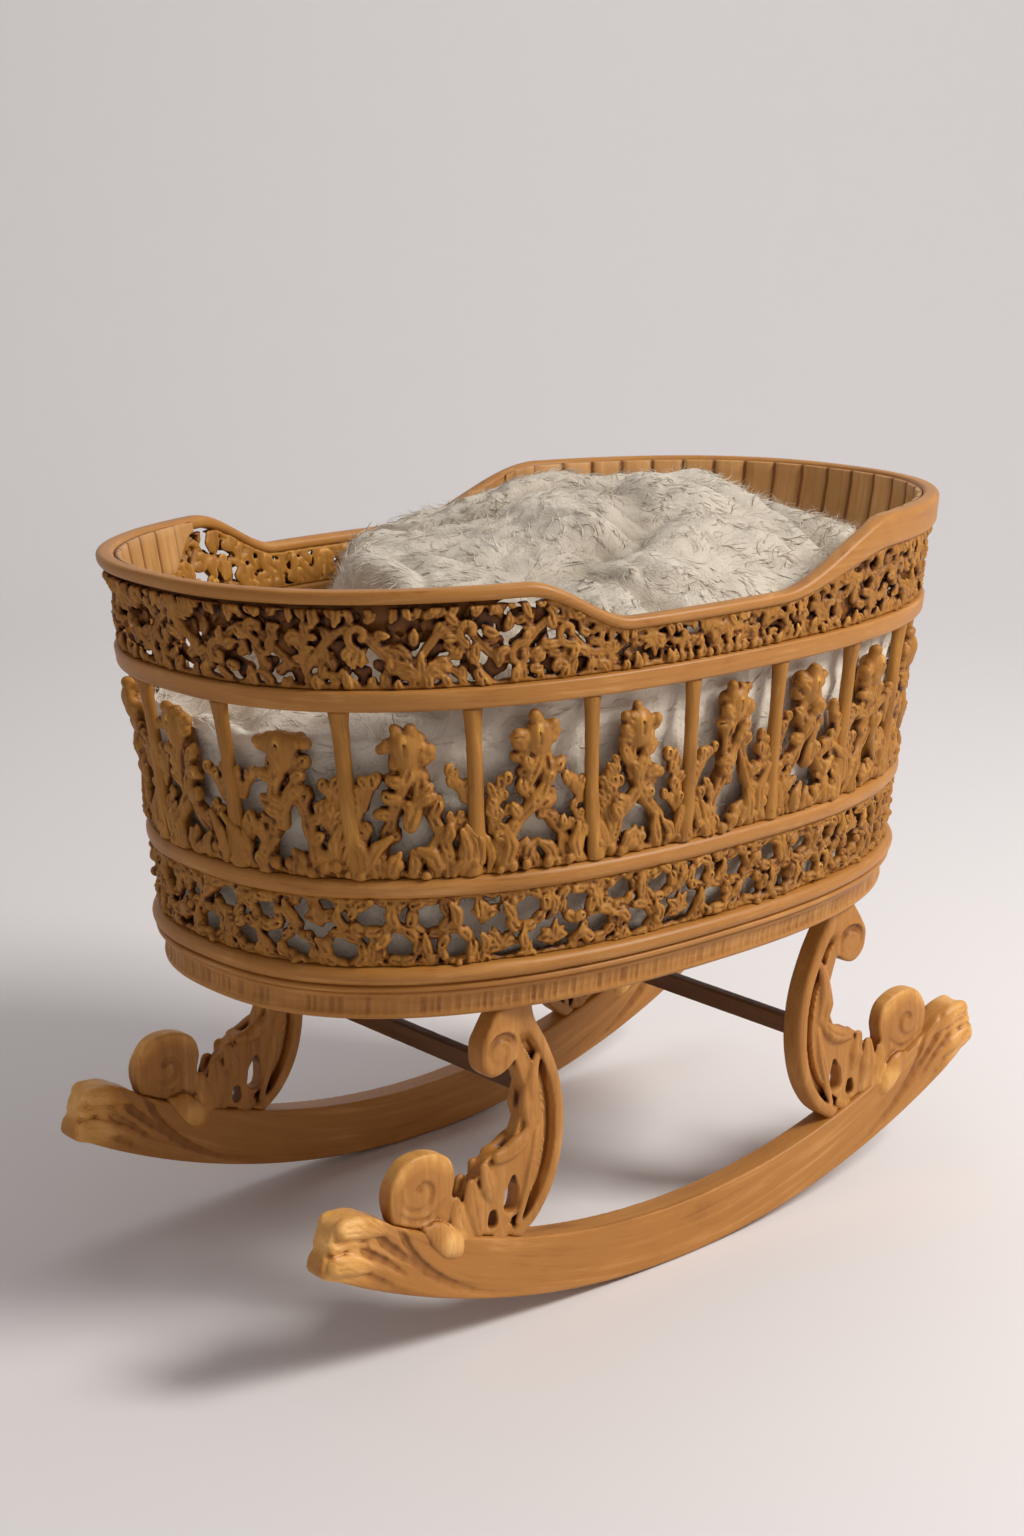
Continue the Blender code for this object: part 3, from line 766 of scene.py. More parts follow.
def frieze_ground(block, k):
    """The thin wood left behind the leaves: some cells are cut right through."""
    for share in (0.17, 0.5, 0.83):
        along = (k + share) * SCROLL_PITCH
        low, high = RING_UPPER[1], float(rim_bottom(along))
        height = high - low
        for level in (0.2, 0.5, 0.8):
            if rng.random() < 0.16:
                continue
            start = np.array([along + rng.uniform(-0.004, 0.004), GROUND_DEPTH, low + height * level])
            for _arm in range(3):
                turn = rng.uniform(0.0, 6.28)
                end = aimed(start, turn, rng.uniform(0.006, 0.012))
                stem(block, np.array([start, end]), rng.uniform(0.0042, 0.0060), 2.6, 0.0)


def frieze_edges(block, low_edge, high_edge, depth, radius):
    """Wavy strips that carry the leaves along the bottom and top."""
    first = block.low[0] - 0.004
    alongs = np.arange(math.floor(first / 0.006) * 0.006, first + block.size[0] * block.step + 0.012, 0.006)
    wave = 0.0014 * np.sin(alongs * 310.0) + 0.0010 * np.sin(alongs * 173.0 + 1.0)
    for edge, way in ((low_edge, 1.0), (high_edge, -1.0)):
        heights = np.broadcast_to(edge(alongs), alongs.shape) + way * wave
        points = np.stack([alongs, np.full(len(alongs), depth), heights], axis=1)
        stem(block, points, radius, 0.8)


def make_upper_frieze():
    rail_bottom = RIM_HEAD_Z - RAIL_DEPTH[2] + 0.001
    blocks = band_of_blocks(RING_UPPER[1] + SEAM, rail_bottom, UPPER_FACES, FRIEZE_STEP)
    for side, block in blocks.items():
        for k in motif_numbers(side, SCROLL_PITCH):
            reseed(100 + k % SCROLL_COUNT)
            frieze_ground(block, k)
            frieze_scroll(block, k)
        frieze_edges(block, lambda _along: RING_UPPER[1] + 0.001, lambda along: rim_bottom(along) - 0.001,
                     -0.0055, 0.0038)
        alongs = block.low[0] + block.step * np.arange(block.size[0])
        heights = block.low[2] + block.step * np.arange(block.size[2])
        over_rail = heights[None, None, :] - rim_bottom(alongs)[:, None, None] - 0.0005
        np.maximum(block.field, over_rail, out=block.field)
    finish_blocks(blocks, "upper_frieze", 0.003, -0.010)


# ---- lower frieze: curled leaves crowded round two staggered rows of openings ------------------
LOWER_FACES = (-0.0125, 0.0080)
OPENING_COUNT = 46
OPENING_PITCH = GIRTH / OPENING_COUNT


def leafy_opening(block, middle, centre_z, height):
    """Short fat leaves that chase each other round an uneven hole."""
    wide = rng.uniform(0.0105, 0.0160)
    tall = height * rng.uniform(0.120, 0.170)
    start = rng.uniform(0.0, 6.28)
    for i in range(7):
        turn = start + i * 2.0 * math.pi / 7 + rng.uniform(-0.12, 0.12)
        ahead = turn + rng.uniform(0.75, 1.05)
        out = rng.uniform(0.0035, 0.0065)
        ends = []
        for angle, more in ((turn, out), (ahead, out + rng.uniform(-0.001, 0.004))):
            ends.append((middle + (wide + more) * math.cos(angle), rng.uniform(-0.0065, -0.0010),
                         centre_z + (tall + more) * math.sin(angle)))
        lobe(block, ends[0], ends[1], rng.uniform(0.0105, 0.0138), rng.uniform(-0.25, 0.05), 0.0010, 0.26)
        if rng.random() < 0.30:
            place = (ends[1][0], rng.uniform(-0.0005, 0.0020), ends[1][2])
            berry(block, place, rng.uniform(0.0038, 0.0052), 0.0006)


def pair_of_openings(block, k):
    """One opening in each row, with a leaf in the gap beside it and a small palmette against the band."""
    low, high = TORUS[1], RING_MIDDLE[0]
    height = high - low
    for row, level in ((0.0, 0.29), (0.5, 0.72)):
        middle = (k + row + 0.25) * OPENING_PITCH + rng.uniform(-0.004, 0.004)
        centre_z = low + height * level + rng.uniform(-0.0025, 0.0025)
        if rng.random() < 0.90:
            leafy_opening(block, middle, centre_z, height)
        else:
            fan(block, (middle, centre_z - 0.008), math.pi / 2.0, 0.024, 2.6, 5, 0.0115, -0.003, 0.2)
        between = middle + OPENING_PITCH / 2.0 + rng.uniform(-0.003, 0.003)
        turn = rng.uniform(0.6, 2.5)
        long = rng.uniform(0.009, 0.014)
        root = aimed((between, 0.0, centre_z), turn, -long, rng.uniform(-0.006, -0.003))
        tip = aimed((between, 0.0, centre_z), turn, long, rng.uniform(-0.001, 0.003))
        lobe(block, root, tip, rng.uniform(0.0105, 0.0135), rng.uniform(-0.3, 0.3), 0.0015, 0.26)
        edge, way = (low, 1.0) if level < 0.5 else (high, -1.0)
        reach = rng.uniform(0.012, 0.018)
        fan(block, (between, edge - way * 0.001), way * math.pi / 2.0, reach, 2.4, 4, 0.0110, -0.0035, 0.30)


def make_lower_frieze():
    blocks = band_of_blocks(TORUS[1] + SEAM, RING_MIDDLE[0] - SEAM, LOWER_FACES, FRIEZE_STEP)
    for side, block in blocks.items():
        for k in motif_numbers(side, OPENING_PITCH):
            reseed(500 + k % OPENING_COUNT)
            pair_of_openings(block, k)
        frieze_edges(block, lambda _along: TORUS[1] + 0.001, lambda _along: RING_MIDDLE[0] - 0.001,
                     -0.0055, 0.0036)
    finish_blocks(blocks, "lower_frieze", 0.003, -0.010)


# ---- vine panels: a bank of leaves with a branching, forked figure in each bay -------------------
VINE_STEP = 0.00158
VINE_FACES = (-0.0155, 0.0078)
RIB_FACES = (-0.0140, 0.0058)
BAY = GIRTH / RIB_COUNT


def rib_along(k):
    return GIRTH / 8.0 + k * BAY


def vine_figure(block, k):
    """Knotty strands that stand apart over an opening, twist together, and end in a broad crown of knobs."""
    low, high = RING_MIDDLE[1], RING_UPPER[0]
    height = high - low
    middle = rib_along(k) + BAY / 2.0 + rng.uniform(-0.004, 0.004)
    lean = rng.uniform(-0.012, 0.012)
    broad = rng.uniform(0.6, 1.0)
    crown = low + height * (0.92 - 0.13 * broad)
    fork = rng.uniform(0.46, 0.62)
    phase = rng.uniform(0.0, 6.28)
    for i in range(3):
        spread = (i - 1.0) * rng.uniform(0.026, 0.036) + rng.uniform(-0.004, 0.004)
        t = np.linspace(0.0, 1.0, 19)
        joined = ease(0.12, fork + 0.12, t)
        twist = np.sin(phase + i * 2.09 + 6.5 * t)
        x = middle + lean * t + spread * (1.0 - joined) + (0.0080 + 0.0040 * broad) * twist * joined
        y = -0.0058 + 0.0030 * np.cos(phase + i * 2.09 + 6.5 * t)
        z = low + (crown - low) * t
        radii = np.interp(t, [0.0, 0.35, 0.8, 1.0], [0.0092, 0.0074, 0.0078, 0.0086]) * rng.uniform(0.9, 1.1)
        radii = radii * (1.0 + 0.16 * np.sin(30.0 * t + rng.uniform(0.0, 6.28)))
        if i == 1 and rng.random() < 0.7:
            x, y, z, radii = x[7:], y[7:], z[7:], radii[7:]
        stem(block, np.stack([x, y, z], axis=1), radii, 1.15, 0.0008, 0.24)
        for j in range(6):
            at = int(len(x) * (0.12 + 0.15 * j + rng.uniform(-0.05, 0.05)))
            outer = 1.0 if x[at] > middle + lean * 0.5 else -1.0
            way = outer if rng.random() < 0.85 else -outer
            turn = rng.uniform(0.15, 1.20)
            long = rng.uniform(0.012, 0.020)
            root = np.array([x[at], y[at], z[at]])
            step = [way * long * math.cos(turn), rng.uniform(0.0, 0.004), long * math.sin(turn)]
            tip = root + np.array(step)
            width = rng.uniform(0.0120, 0.0160)
            lobe(block, root, tip, width, way * rng.uniform(-0.25, 0.25), 0.0012, 0.20, 1.1, 0.0010)
            if rng.random() < 0.5:
                berry(block, tip, rng.uniform(0.0045, 0.0060), 0.0010)
    vine_crown(block, middle + lean, crown, broad)


def vine_crown(block, top, crown, broad):
    """The head of a figure: a fat body, two reaching arms and a few horns."""
    foot, tip = (top, -0.0060, crown - 0.020), (top, -0.0030, crown + 0.004)
    lobe(block, foot, tip, 0.020 + 0.014 * broad, 0.0, 0.001, 0.10, 1.35, 0.0012)
    for turn in (0.15, 1.05, 1.95, 3.0):
        arm = turn < 0.5 or turn > 2.6
        if not arm and rng.random() < 0.25:
            continue
        turn += rng.uniform(-0.30, 0.30)
        long = rng.uniform(0.020, 0.030) * broad if arm else rng.uniform(0.010, 0.015)
        root = (top + 0.004 * math.cos(turn), -0.0050, crown - (0.008 if arm else 0.0))
        tip = (top + long * math.cos(turn), rng.uniform(-0.0035, 0.0010), root[2] + long * math.sin(turn))
        lobe(block, root, tip, rng.uniform(0.0105, 0.0145), rng.uniform(-0.3, 0.3), 0.001, 0.16, 1.1, 0.0012)
        berry(block, tip, rng.uniform(0.0052, 0.0070), 0.0012)


def leaf_bank(block, k):
    """Fat hooked leaves and buds that crowd the bottom of a bay and climb its ribs."""
    low, high = RING_MIDDLE[1], RING_UPPER[0]
    height = high - low
    for i in range(10):
        share = (i + 0.5) / 10.0
        x = rib_along(k) + BAY * share + rng.uniform(-0.002, 0.002)
        beside = abs(share - 0.5) * 2.0
        long = height * (0.13 + 0.18 * beside ** 1.6) * rng.uniform(0.75, 1.3)
        heading = math.pi / 2.0 + rng.uniform(-0.65, 0.65)
        depth = rng.uniform(-0.0085, -0.0015)
        tip = aimed((x, depth + 0.003, low + 0.002), heading, long)
        width = rng.uniform(0.0125, 0.0170)
        lobe(block, (x, depth - 0.001, low), tip, width, rng.uniform(-0.35, 0.35), 0.001, 0.22)
        if rng.random() < 0.7:
            berry(block, (x + 0.005, rng.uniform(-0.002, 0.001), low + rng.uniform(0.003, 0.016)),
                  rng.uniform(0.0045, 0.0070), 0.0008)
    for i in range(10):
        way = 1.0 if i % 2 else -1.0
        root_x = rib_along(k) + (0.008 if way > 0 else BAY - 0.008)
        z = low + height * rng.uniform(0.06, 0.42)
        t = np.linspace(0.0, 1.0, 5)
        arc = math.pi / 2.0 - way * (rng.uniform(-0.2, 0.4) + rng.uniform(0.2, 1.0) * t)
        steps = np.stack([np.cos(arc), np.full(5, 0.08), np.sin(arc)], axis=1) * rng.uniform(0.0055, 0.0080)
        start = np.array([root_x + way * rng.uniform(0.0, 0.006), -0.0065, z])
        acanthus(block, start + np.cumsum(steps, axis=0), rng.uniform(0.0095, 0.0120), 3, way, 1.1)


def make_vine_panels():
    blocks = band_of_blocks(RING_MIDDLE[1] + SEAM, RING_UPPER[0] - SEAM, VINE_FACES, VINE_STEP)
    for side, block in blocks.items():
        for k in motif_numbers(side, BAY, rib_along(0)):
            reseed(900 + k % RIB_COUNT)
            vine_figure(block, k)
            leaf_bank(block, k)
        frieze_edges(block, lambda _along: RING_MIDDLE[1], lambda _along: RING_MIDDLE[1] + 0.004,
                     -0.0065, 0.004)
    finish_blocks(blocks, "vine_panel", 0.002, -0.012)


# ---- ribs --------------------------------------------------------------------------------------
def make_rib(k):
    """A flat-fronted leaning rib that widens to a curled, leafy foot."""
    reseed(1300 + k)
    low, high = RING_MIDDLE[1], RING_UPPER[0]
    along = rib_along(k)
    near_corner = (along - 0.026, RIB_FACES[0], low + SEAM)
    far_corner = (along + 0.026, RIB_FACES[1], high - SEAM)
    block = Block(near_corner, far_corner, VINE_STEP)
    t = np.linspace(0.0, 1.0, 13)
    toe = rng.choice([-1.0, 1.0]) * rng.uniform(0.003, 0.008)
    x = along + toe * (1.0 - t) ** 5 + 0.0010 * np.sin(t * 5.0 + rng.uniform(0.0, 6.0)) * (1.0 - t)
    z = low + (high - low) * t
    y = np.full(13, -0.0036)
    radii = 0.0076 + 0.0034 * (1.0 - t) ** 2.5 + 0.0022 * t ** 9 + rng.normal(0.0, 0.00015, 13)
    stem(block, np.stack([x, y, z], axis=1), radii, 1.4, 0.001)
    for way in (1.0, -1.0):
        for long, level in ((0.036, 0.003), (0.022, 0.018)):
            tip = (along + way * rng.uniform(0.010, 0.016), -0.0025, low + level * 0.6)
            root = (along + way * 0.002, -0.004, low + level + long)
            lobe(block, root, tip, rng.uniform(0.0090, 0.0115), way * 0.20, 0.0018, 0.25)
    points, quads = block.surface()
    # Painted shade: darker in recesses and towards the back.
    tone = block.tone(points) * (0.75 + 0.25 * np.clip((points[:, 1] + 0.010) / 0.010, 0.0, 1.0))
    bent = on_wall(points[:, 0], points[:, 2], points[:, 1])
    piece = make_piece(f"rib_{k + 1:02d}_carved", bent, quads, CARVED_WOOD, points[:, [2, 0, 1]], tone)
    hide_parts(f"rib_{k + 1:02d}")


# ---- plain bands of the tub --------------------------------------------------------------------
def hand_worked(along, size):
    """The slight unevenness of a rail shaped by hand."""
    turn = 2.0 * math.pi * along / GIRTH
    waves = math.sin(11.0 * turn + 0.7) + 0.6 * math.sin(23.0 * turn + 2.1) + 0.4 * math.sin(57.0 * turn)
    return size * waves


def stand_for_quarters(band, name):
    """Let an unbroken band stand for the frame's four quarters of it."""
    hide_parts(*[f"{name}_{side}" for side in SIDES])


def make_rim_rail():
    def section(along):
        low, high = float(rim_bottom(along)), float(rim_top(along))
        outer = RAIL_PROUD - 0.0004 + hand_worked(along, 0.00012)
        radius = min(0.0055, (high - low) * 0.45)
        return rounded_section(low, high, -0.012, outer, radius, 6)

    stand_for_quarters(sweep("rim_rail_bent", section, RAIL_WOOD, 760), "rim_rail")


def make_upper_ring():
    def section(along):
        outer = 0.0056 + hand_worked(along, 0.00013)
        return rounded_section(*RING_UPPER, BAND_BACK, outer, 0.0034, 4)

    stand_for_quarters(sweep("upper_ring_bent", section, RAIL_WOOD, 620), "upper_ring")


def make_middle_ring():
    def section(along):
        outer = 0.0054 + hand_worked(along, 0.00015)
        return rounded_section(*RING_MIDDLE, BAND_BACK, outer, 0.0075, 6)

    stand_for_quarters(sweep("middle_ring_bent", section, RAIL_WOOD, 600), "middle_ring")


def make_base_moulding():
    """A large roll over a groove and a small roll."""
    low, high = TORUS

    def section(along):
        wave = hand_worked(along, 0.00013)
        shape = [(MOULDING_BACK, low + 0.001), (MOULDING_BACK + 0.001, low)]
        for k in range(7):
            turn = math.radians(-90.0 + 30.0 * k)
            shape.append((0.0046 + 0.0026 * math.cos(turn) + wave, low + 0.0030 + 0.0030 * math.sin(turn)))
        for k in range(11):
            turn = math.radians(-80.0 + 17.0 * k)
            shape.append((0.0006 + 0.0090 * math.cos(turn) + wave, low + 0.0148 + 0.0085 * math.sin(turn)))
        shape.append((-0.0125, high))
        shape.append((MOULDING_BACK, high - 0.0015))
        return np.array(shape)

    moulding = sweep("base_moulding_bent", section, RAIL_WOOD, 620)
    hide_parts("base_moulding")


FLUTE_COUNT = 270
FLUTE_DEPTH = 0.0017
# From the skirt's foot up: the rise, how far it stands out there, and its share of the flutes' depth.
SKIRT_SHAPE = (
    (0.0, 0.0, 0.0), (0.0012, 0.0012, 0.0), (0.0040, 0.0017, 0.1), (0.0058, 0.0015, 0.8),
    (0.0075, 0.0008, 1.0), (0.0105, 0.0006, 1.0), (0.0140, 0.0006, 1.0), (0.0175, 0.0006, 1.0),
    (0.0200, 0.0008, 0.9), (0.0214, 0.0016, 0.3), (0.0235, 0.0019, 0.0), (0.0262, 0.0004, 0.0),
)


def make_fluted_skirt():
    rises, faces, fluted = np.array(SKIRT_SHAPE).T
    levels = BASE_Z + SEAM + rises * (SKIRT_TOP - BASE_Z - 0.0006) / rises[-1]
    depths = np.random.default_rng(41).uniform(0.30, 1.15, FLUTE_COUNT + 1)

    def flute_place(along):
        """How many flutes in, with uneven widths."""
        turn = 2.0 * math.pi * along / GIRTH
        return along / GIRTH * FLUTE_COUNT + 0.12 * np.sin(97.0 * turn) + 0.20 * np.sin(41.0 * turn + 1.0)

    def flute(along):
        place = flute_place(along)
        return depths[int(place) % FLUTE_COUNT] * math.sin(math.pi * (place % 1.0)) ** 0.6

    def section(along):
        outer = faces - FLUTE_DEPTH * fluted * flute(along)
        rows = list(zip(outer, levels))
        return np.array([*rows, (MOULDING_BACK, levels[-1]), (MOULDING_BACK, levels[0])])

    def tone(grain):
        places = flute_place(grain[:, 0])
        flutes = np.sin(np.pi * (places % 1.0)) ** 0.6 * depths[places.astype(int) % FLUTE_COUNT]
        share = np.interp(grain[:, 1], levels, fluted)
        outside = grain[:, 2] > -0.010
        # Painted shade: darker in the flutes' hollows, the more so the deeper the flute.
        return 0.66 - 0.22 * flutes * share * outside

    skirt = sweep("fluted_skirt_carved", section, RAIL_WOOD, FLUTE_COUNT * 9, tone=tone)
    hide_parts("fluted_skirt")


STAVE_WIDTH = 0.037
STAVE_FOOT_Z = 0.6552


def make_staves(end, depth):
    """Upright staves inside one raised end, each slightly rounded, with dark joints between them."""
    along_low, along_high = side_span(end)
    margin = GIRTH / 60.0 * (1.0 if end == "foot" else 3.0)
    span = (along_low - margin + 0.001, along_high + margin - 0.001)
    count = round((span[1] - span[0]) / STAVE_WIDTH)
    pitch = (span[1] - span[0]) / count

    def joint(along):
        """0 in the middle of a stave, 1 at the joint between two."""
        return np.abs(((along - span[0]) / pitch) % 1.0 - 0.5) * 2.0

    def section(along):
        full = float(ease(0.0, 0.055, min(along - span[0], span[1] - along)))
        top = float(rim_top(along)) - 0.0032
        deep = 0.012 + (depth - 0.003 - 0.012) * full
        low = min(top - 0.010, max(top - deep, STAVE_FOOT_Z))
        gap = float(joint(along)) * full
        inner = -0.0135 - 0.0048 * full + 0.0030 * gap ** 6 + 0.0008 * gap ** 2
        rows = [(BAND_BACK, low), (BAND_BACK, top), (inner + 0.001, top), (inner, top - 0.0015)]
        for k in range(1, 6):
            rows.append((inner, top - 0.0015 + (low - top + 0.003) * k / 6.0))
        rows.append((inner, low + 0.0015))
        rows.append((inner + 0.0012, low))
        return np.array(rows)

    def tone(grain):
        number = np.floor((grain[:, 0] - span[0]) / pitch).astype(int)
        shade = np.random.default_rng(5).uniform(-0.05, 0.07, count + 2)[np.clip(number, 0, count)]
        full = ease(0.02, 0.06, np.minimum(grain[:, 0] - span[0], span[1] - grain[:, 0]))
        inside = grain[:, 2] < -0.0132
        # Painted shade: the staves' outer faces, behind the wall, are dark. The inner faces have each stave's own
        # tone and dark joints.
        return np.where(inside, 0.62 + full * (shade - 0.58 * joint(grain[:, 0]) ** 9), 0.30)

    staves = sweep(f"{end}_staves", section, STAVE_WOOD, count * 22, span, tone)
    turned = staves.data.attributes["grain"].data
    values = np.zeros(len(turned) * 3, np.float32)
    turned.foreach_get("vector", values)
    values = values.reshape(-1, 3)
    number = np.floor((values[:, 0] - span[0]) / pitch)
    upright = np.stack([values[:, 1] + number * 0.37, values[:, 0], values[:, 2]], axis=1)
    turned.foreach_set("vector", upright.ravel())
    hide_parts(f"{end}_lining")


make_rim_rail()
make_upper_ring()
make_middle_ring()
make_base_moulding()
make_fluted_skirt()
make_staves("foot", 0.050)
make_staves("head", 0.080)
make_upper_frieze()
make_vine_panels()
for rib_number in range(RIB_COUNT):
    make_rib(rib_number)
make_lower_frieze()


# ---- legs, rockers and cross bars --------------------------------------------------------------
STAND_STEP = 0.0016
rocker_low, rocker_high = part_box("rocker_far")
ROCKER_MIDDLE_Y = (rocker_low.y + rocker_high.y) / 2.0
ROCKER_HALF = (rocker_high.y - rocker_low.y) / 2.0
leg_low, leg_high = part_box("leg_head_far")
LEG_MIDDLE_Y = (leg_low.y + leg_high.y) / 2.0
LEG_HALF = (leg_high.y - leg_low.y) / 2.0
LEG_SEAT = leg_high.z
ROCKER_RADIUS = 0.913
ROCKER_DEPTH = 0.060
ROCKER_REACH = 0.437
ROCKER_STEP = 0.0018
FOLD_FLATNESS = 1.35


def rocker_bottom(x):
    return np.maximum(ROCKER_RADIUS - np.sqrt(ROCKER_RADIUS ** 2 - x * x), 0.0)


def rocker_top(x):
    return ROCKER_RADIUS - np.sqrt((ROCKER_RADIUS - ROCKER_DEPTH) ** 2 - x * x)


def line_distance(x, z, line, closed=False):
    """Distance in the flat to a line of points; negative inside a closed one."""
    ends = np.roll(line, -1, axis=0) if closed else line[1:]
    starts = line if closed else line[:-1]
    best = np.full(np.broadcast(x, z).shape, 1.0)
    inside = np.zeros(best.shape, bool)
    for a, b in zip(starts, ends):
        run = b - a
        share = np.clip(((x - a[0]) * run[0] + (z - a[1]) * run[1]) / max(run @ run, 1e-12), 0.0, 1.0)
        gap = (x - a[0] - share * run[0]) ** 2 + (z - a[1] - share * run[1]) ** 2
        best = np.minimum(best, gap)
        if closed and a[1] != b[1]:
            crosses = (a[1] > z) != (b[1] > z)
            inside ^= crosses & (x < a[0] + (z - a[1]) * run[0] / run[1])
    best = np.sqrt(best)
    return np.where(inside, -best, best) if closed else best


def plate(block, flat, half, rounding):
    """Fill a block with a plate: its outline's distance in the flat, and its half thickness at each place."""
    _x, y, _z = np.meshgrid(*[block.low[k] + block.step * np.arange(block.size[k]) for k in range(3)],
                            indexing="ij", sparse=True)
    side = flat[:, None, :] + rounding
    face = np.abs(y) - half[:, None, :] + rounding
    outer = np.sqrt(np.maximum(side, 0.0) ** 2 + np.maximum(face, 0.0) ** 2)
    block.field[...] = outer + np.minimum(np.maximum(side, face), 0.0) - rounding


def both_faces(points):
    """The same points on the outer and on the inner face of a plate."""
    points = np.asarray(points, float)
    return points, points * np.array([1.0, -1.0, 1.0])


def groove(block, points, radius, blend=0.0015):
    for line in both_faces(points):
        radii = np.broadcast_to(radius, len(line)).astype(float)
        for i in range(0, len(line) - 1, 3):
            cells, grid = block.near(line[i:i + 4], radii.max() + 3.0 * block.step)
            if cells is not None:
                block.cut(cells, rope(grid, line[i:i + 4], radii[i:i + 4]), blend)


def leaf(block, points, widths, squash, blend=0.002, vein=0.0):
    for line in both_faces(points):
        widths = np.asarray(widths, float)
        cells, grid = block.near(line, widths.max() + 3.0 * block.step)
        shape = rope(grid, line, widths, squash)
        if vein:
            way = np.sign(line[0][1])
            fold = line + np.array([0.0, way, 0.0]) * (widths / squash)[:, None]
            shape = np.maximum(shape, -rope(grid, fold, widths * vein))
        block.add(cells, shape, blend)


def cut_through(block, line, radii):
    """A hole through a plate's whole thickness, along a line in the flat."""
    ends = np.concatenate(both_faces(faced(line, 0.024)))
    cells, (x, y, z) = block.near(ends, 0.014)
    middle = faced(line, 0.0)
    block.cut(cells, rope((x, 0.0 * y, z), middle, taper(len(middle), radii)), 0.003)


def heights_in(block):
    return (block.low[2] + block.step * np.arange(block.size[2]))[None, None, :]


def keep_below(block, top):
    """Saw a block off flat, a hair under a height."""
    np.maximum(block.field, heights_in(block) - top + SEAM, out=block.field)


def keep_above(block, bottom):
    """Saw a block off flat, a hair over a height."""
    np.maximum(block.field, bottom + SEAM - heights_in(block), out=block.field)


def faced(flat_points, depth, steps=5):
    """A smooth line over a plate's face, from points as (along, height), at a depth from its middle."""
    line = smooth_through(flat_points, steps)
    return np.stack([line[:, 0], np.full(len(line), depth), line[:, 1]], axis=1)


def bump(low, high, value):
    """Rises from 0 at low to 1 midway and falls to 0 at high."""
    share = np.clip((value - low) / (high - low), 0.0, 1.0)
    return np.sin(np.pi * share)


LEG_BACK = smooth_through([
    (0.220, 0.087), (0.196, 0.106), (0.177, 0.135), (0.167, 0.170), (0.1655, 0.205), (0.172, 0.242),
    (0.187, 0.278), (0.202, 0.304), (0.207, LEG_SEAT)])
LEG_VOLUTE = smooth_through([
    (0.247, LEG_SEAT), (0.261, 0.303), (0.269, 0.286), (0.267, 0.268), (0.253, 0.257), (0.238, 0.260),
    (0.226, 0.268)])
LEG_INSIDE = smooth_through([
    (0.226, 0.268), (0.219, 0.248), (0.212, 0.227), (0.218, 0.208), (0.226, 0.190), (0.234, 0.180),
    (0.248, 0.182), (0.262, 0.175), (0.274, 0.161), (0.286, 0.147), (0.296, 0.142)])
LEG_TOE = smooth_through([
    (0.296, 0.142), (0.3015, 0.154), (0.2985, 0.174), (0.307, 0.1935), (0.331, 0.2035), (0.357, 0.201),
    (0.373, 0.184), (0.377, 0.166), (0.3725, 0.1455)])
LEG_SOLE_X = np.linspace(0.3725, 0.220, 24)
LOBE_MIDDLE = (0.339, 0.168)
VOLUTE_MIDDLE = (0.2455, 0.2805)


# Each leaf: its line, its half widths at start, middle and end, its flatness and its vein.
LEG_LEAVES = (
    ([(0.1945, 0.272), (0.2040, 0.250), (0.2050, 0.226), (0.2000, 0.203)], (0.0030, 0.0086, 0.0036), 1.3, 0.10),
    ([(0.2110, 0.240), (0.2120, 0.218), (0.2070, 0.196)], (0.0045, 0.0078, 0.0045), 1.3, 0.16),
    ([(0.2020, 0.204), (0.2150, 0.188), (0.2340, 0.178), (0.2480, 0.176)], (0.0040, 0.0096, 0.0066), 1.35, 0.16),
    ([(0.1985, 0.192), (0.2040, 0.164), (0.2120, 0.134), (0.2220, 0.104)], (0.0032, 0.0060, 0.0040), 1.2, 0.20),
    ([(0.2640, 0.170), (0.2600, 0.152), (0.2560, 0.138)], (0.0060, 0.0100, 0.0050), 1.7, 0.12),
    ([(0.2800, 0.157), (0.2790, 0.136), (0.2720, 0.110)], (0.0070, 0.0130, 0.0080), 1.9, 0.10),
    ([(0.2990, 0.146), (0.2960, 0.128), (0.2860, 0.104)], (0.0060, 0.0120, 0.0090), 1.9, 0.10),
    ([(0.2340, 0.101), (0.2560, 0.0900), (0.2800, 0.0900)], (0.0050, 0.0080, 0.0060), 1.6, 0.14),
)
LEG_LEAF_DEPTH = LEG_HALF - 0.0052
LEG_BUD = [(0.3340, 0.131), (0.3180, 0.117), (0.2950, 0.0960)]
LEG_BUD_LEAF = [(0.3080, 0.124), (0.2960, 0.1100), (0.2800, 0.0930)]
# Each groove: its line, how far its middle stands over the leg's face, and its radius.
LEG_GROOVES = (
    ([(0.3450, 0.132), (0.3330, 0.112), (0.3160, 0.094), (0.2950, 0.0820), (0.2760, 0.0800)], 0.0008, 0.0032),
    ([(0.3660, 0.152), (0.3540, 0.1440), (0.3400, 0.1400), (0.3260, 0.1430), (0.3140, 0.152)], 0.0008, 0.0046),
    ([(0.3560, 0.190), (0.3640, 0.178), (0.3640, 0.164), (0.3540, 0.154), (0.3400, 0.152), (0.3300, 0.160),
      (0.3300, 0.171), (0.3380, 0.177), (0.3460, 0.173)], 0.0014, 0.0042),
)
# Each hole: its line through the leg's carved foot, and its radii.
LEG_HOLES = (
    ([(0.2300, 0.124), (0.2290, 0.136), (0.2270, 0.150)], (0.0085, 0.0078, 0.0020)),
    ([(0.2530, 0.112), (0.2530, 0.120)], (0.0056, 0.0040)),
)


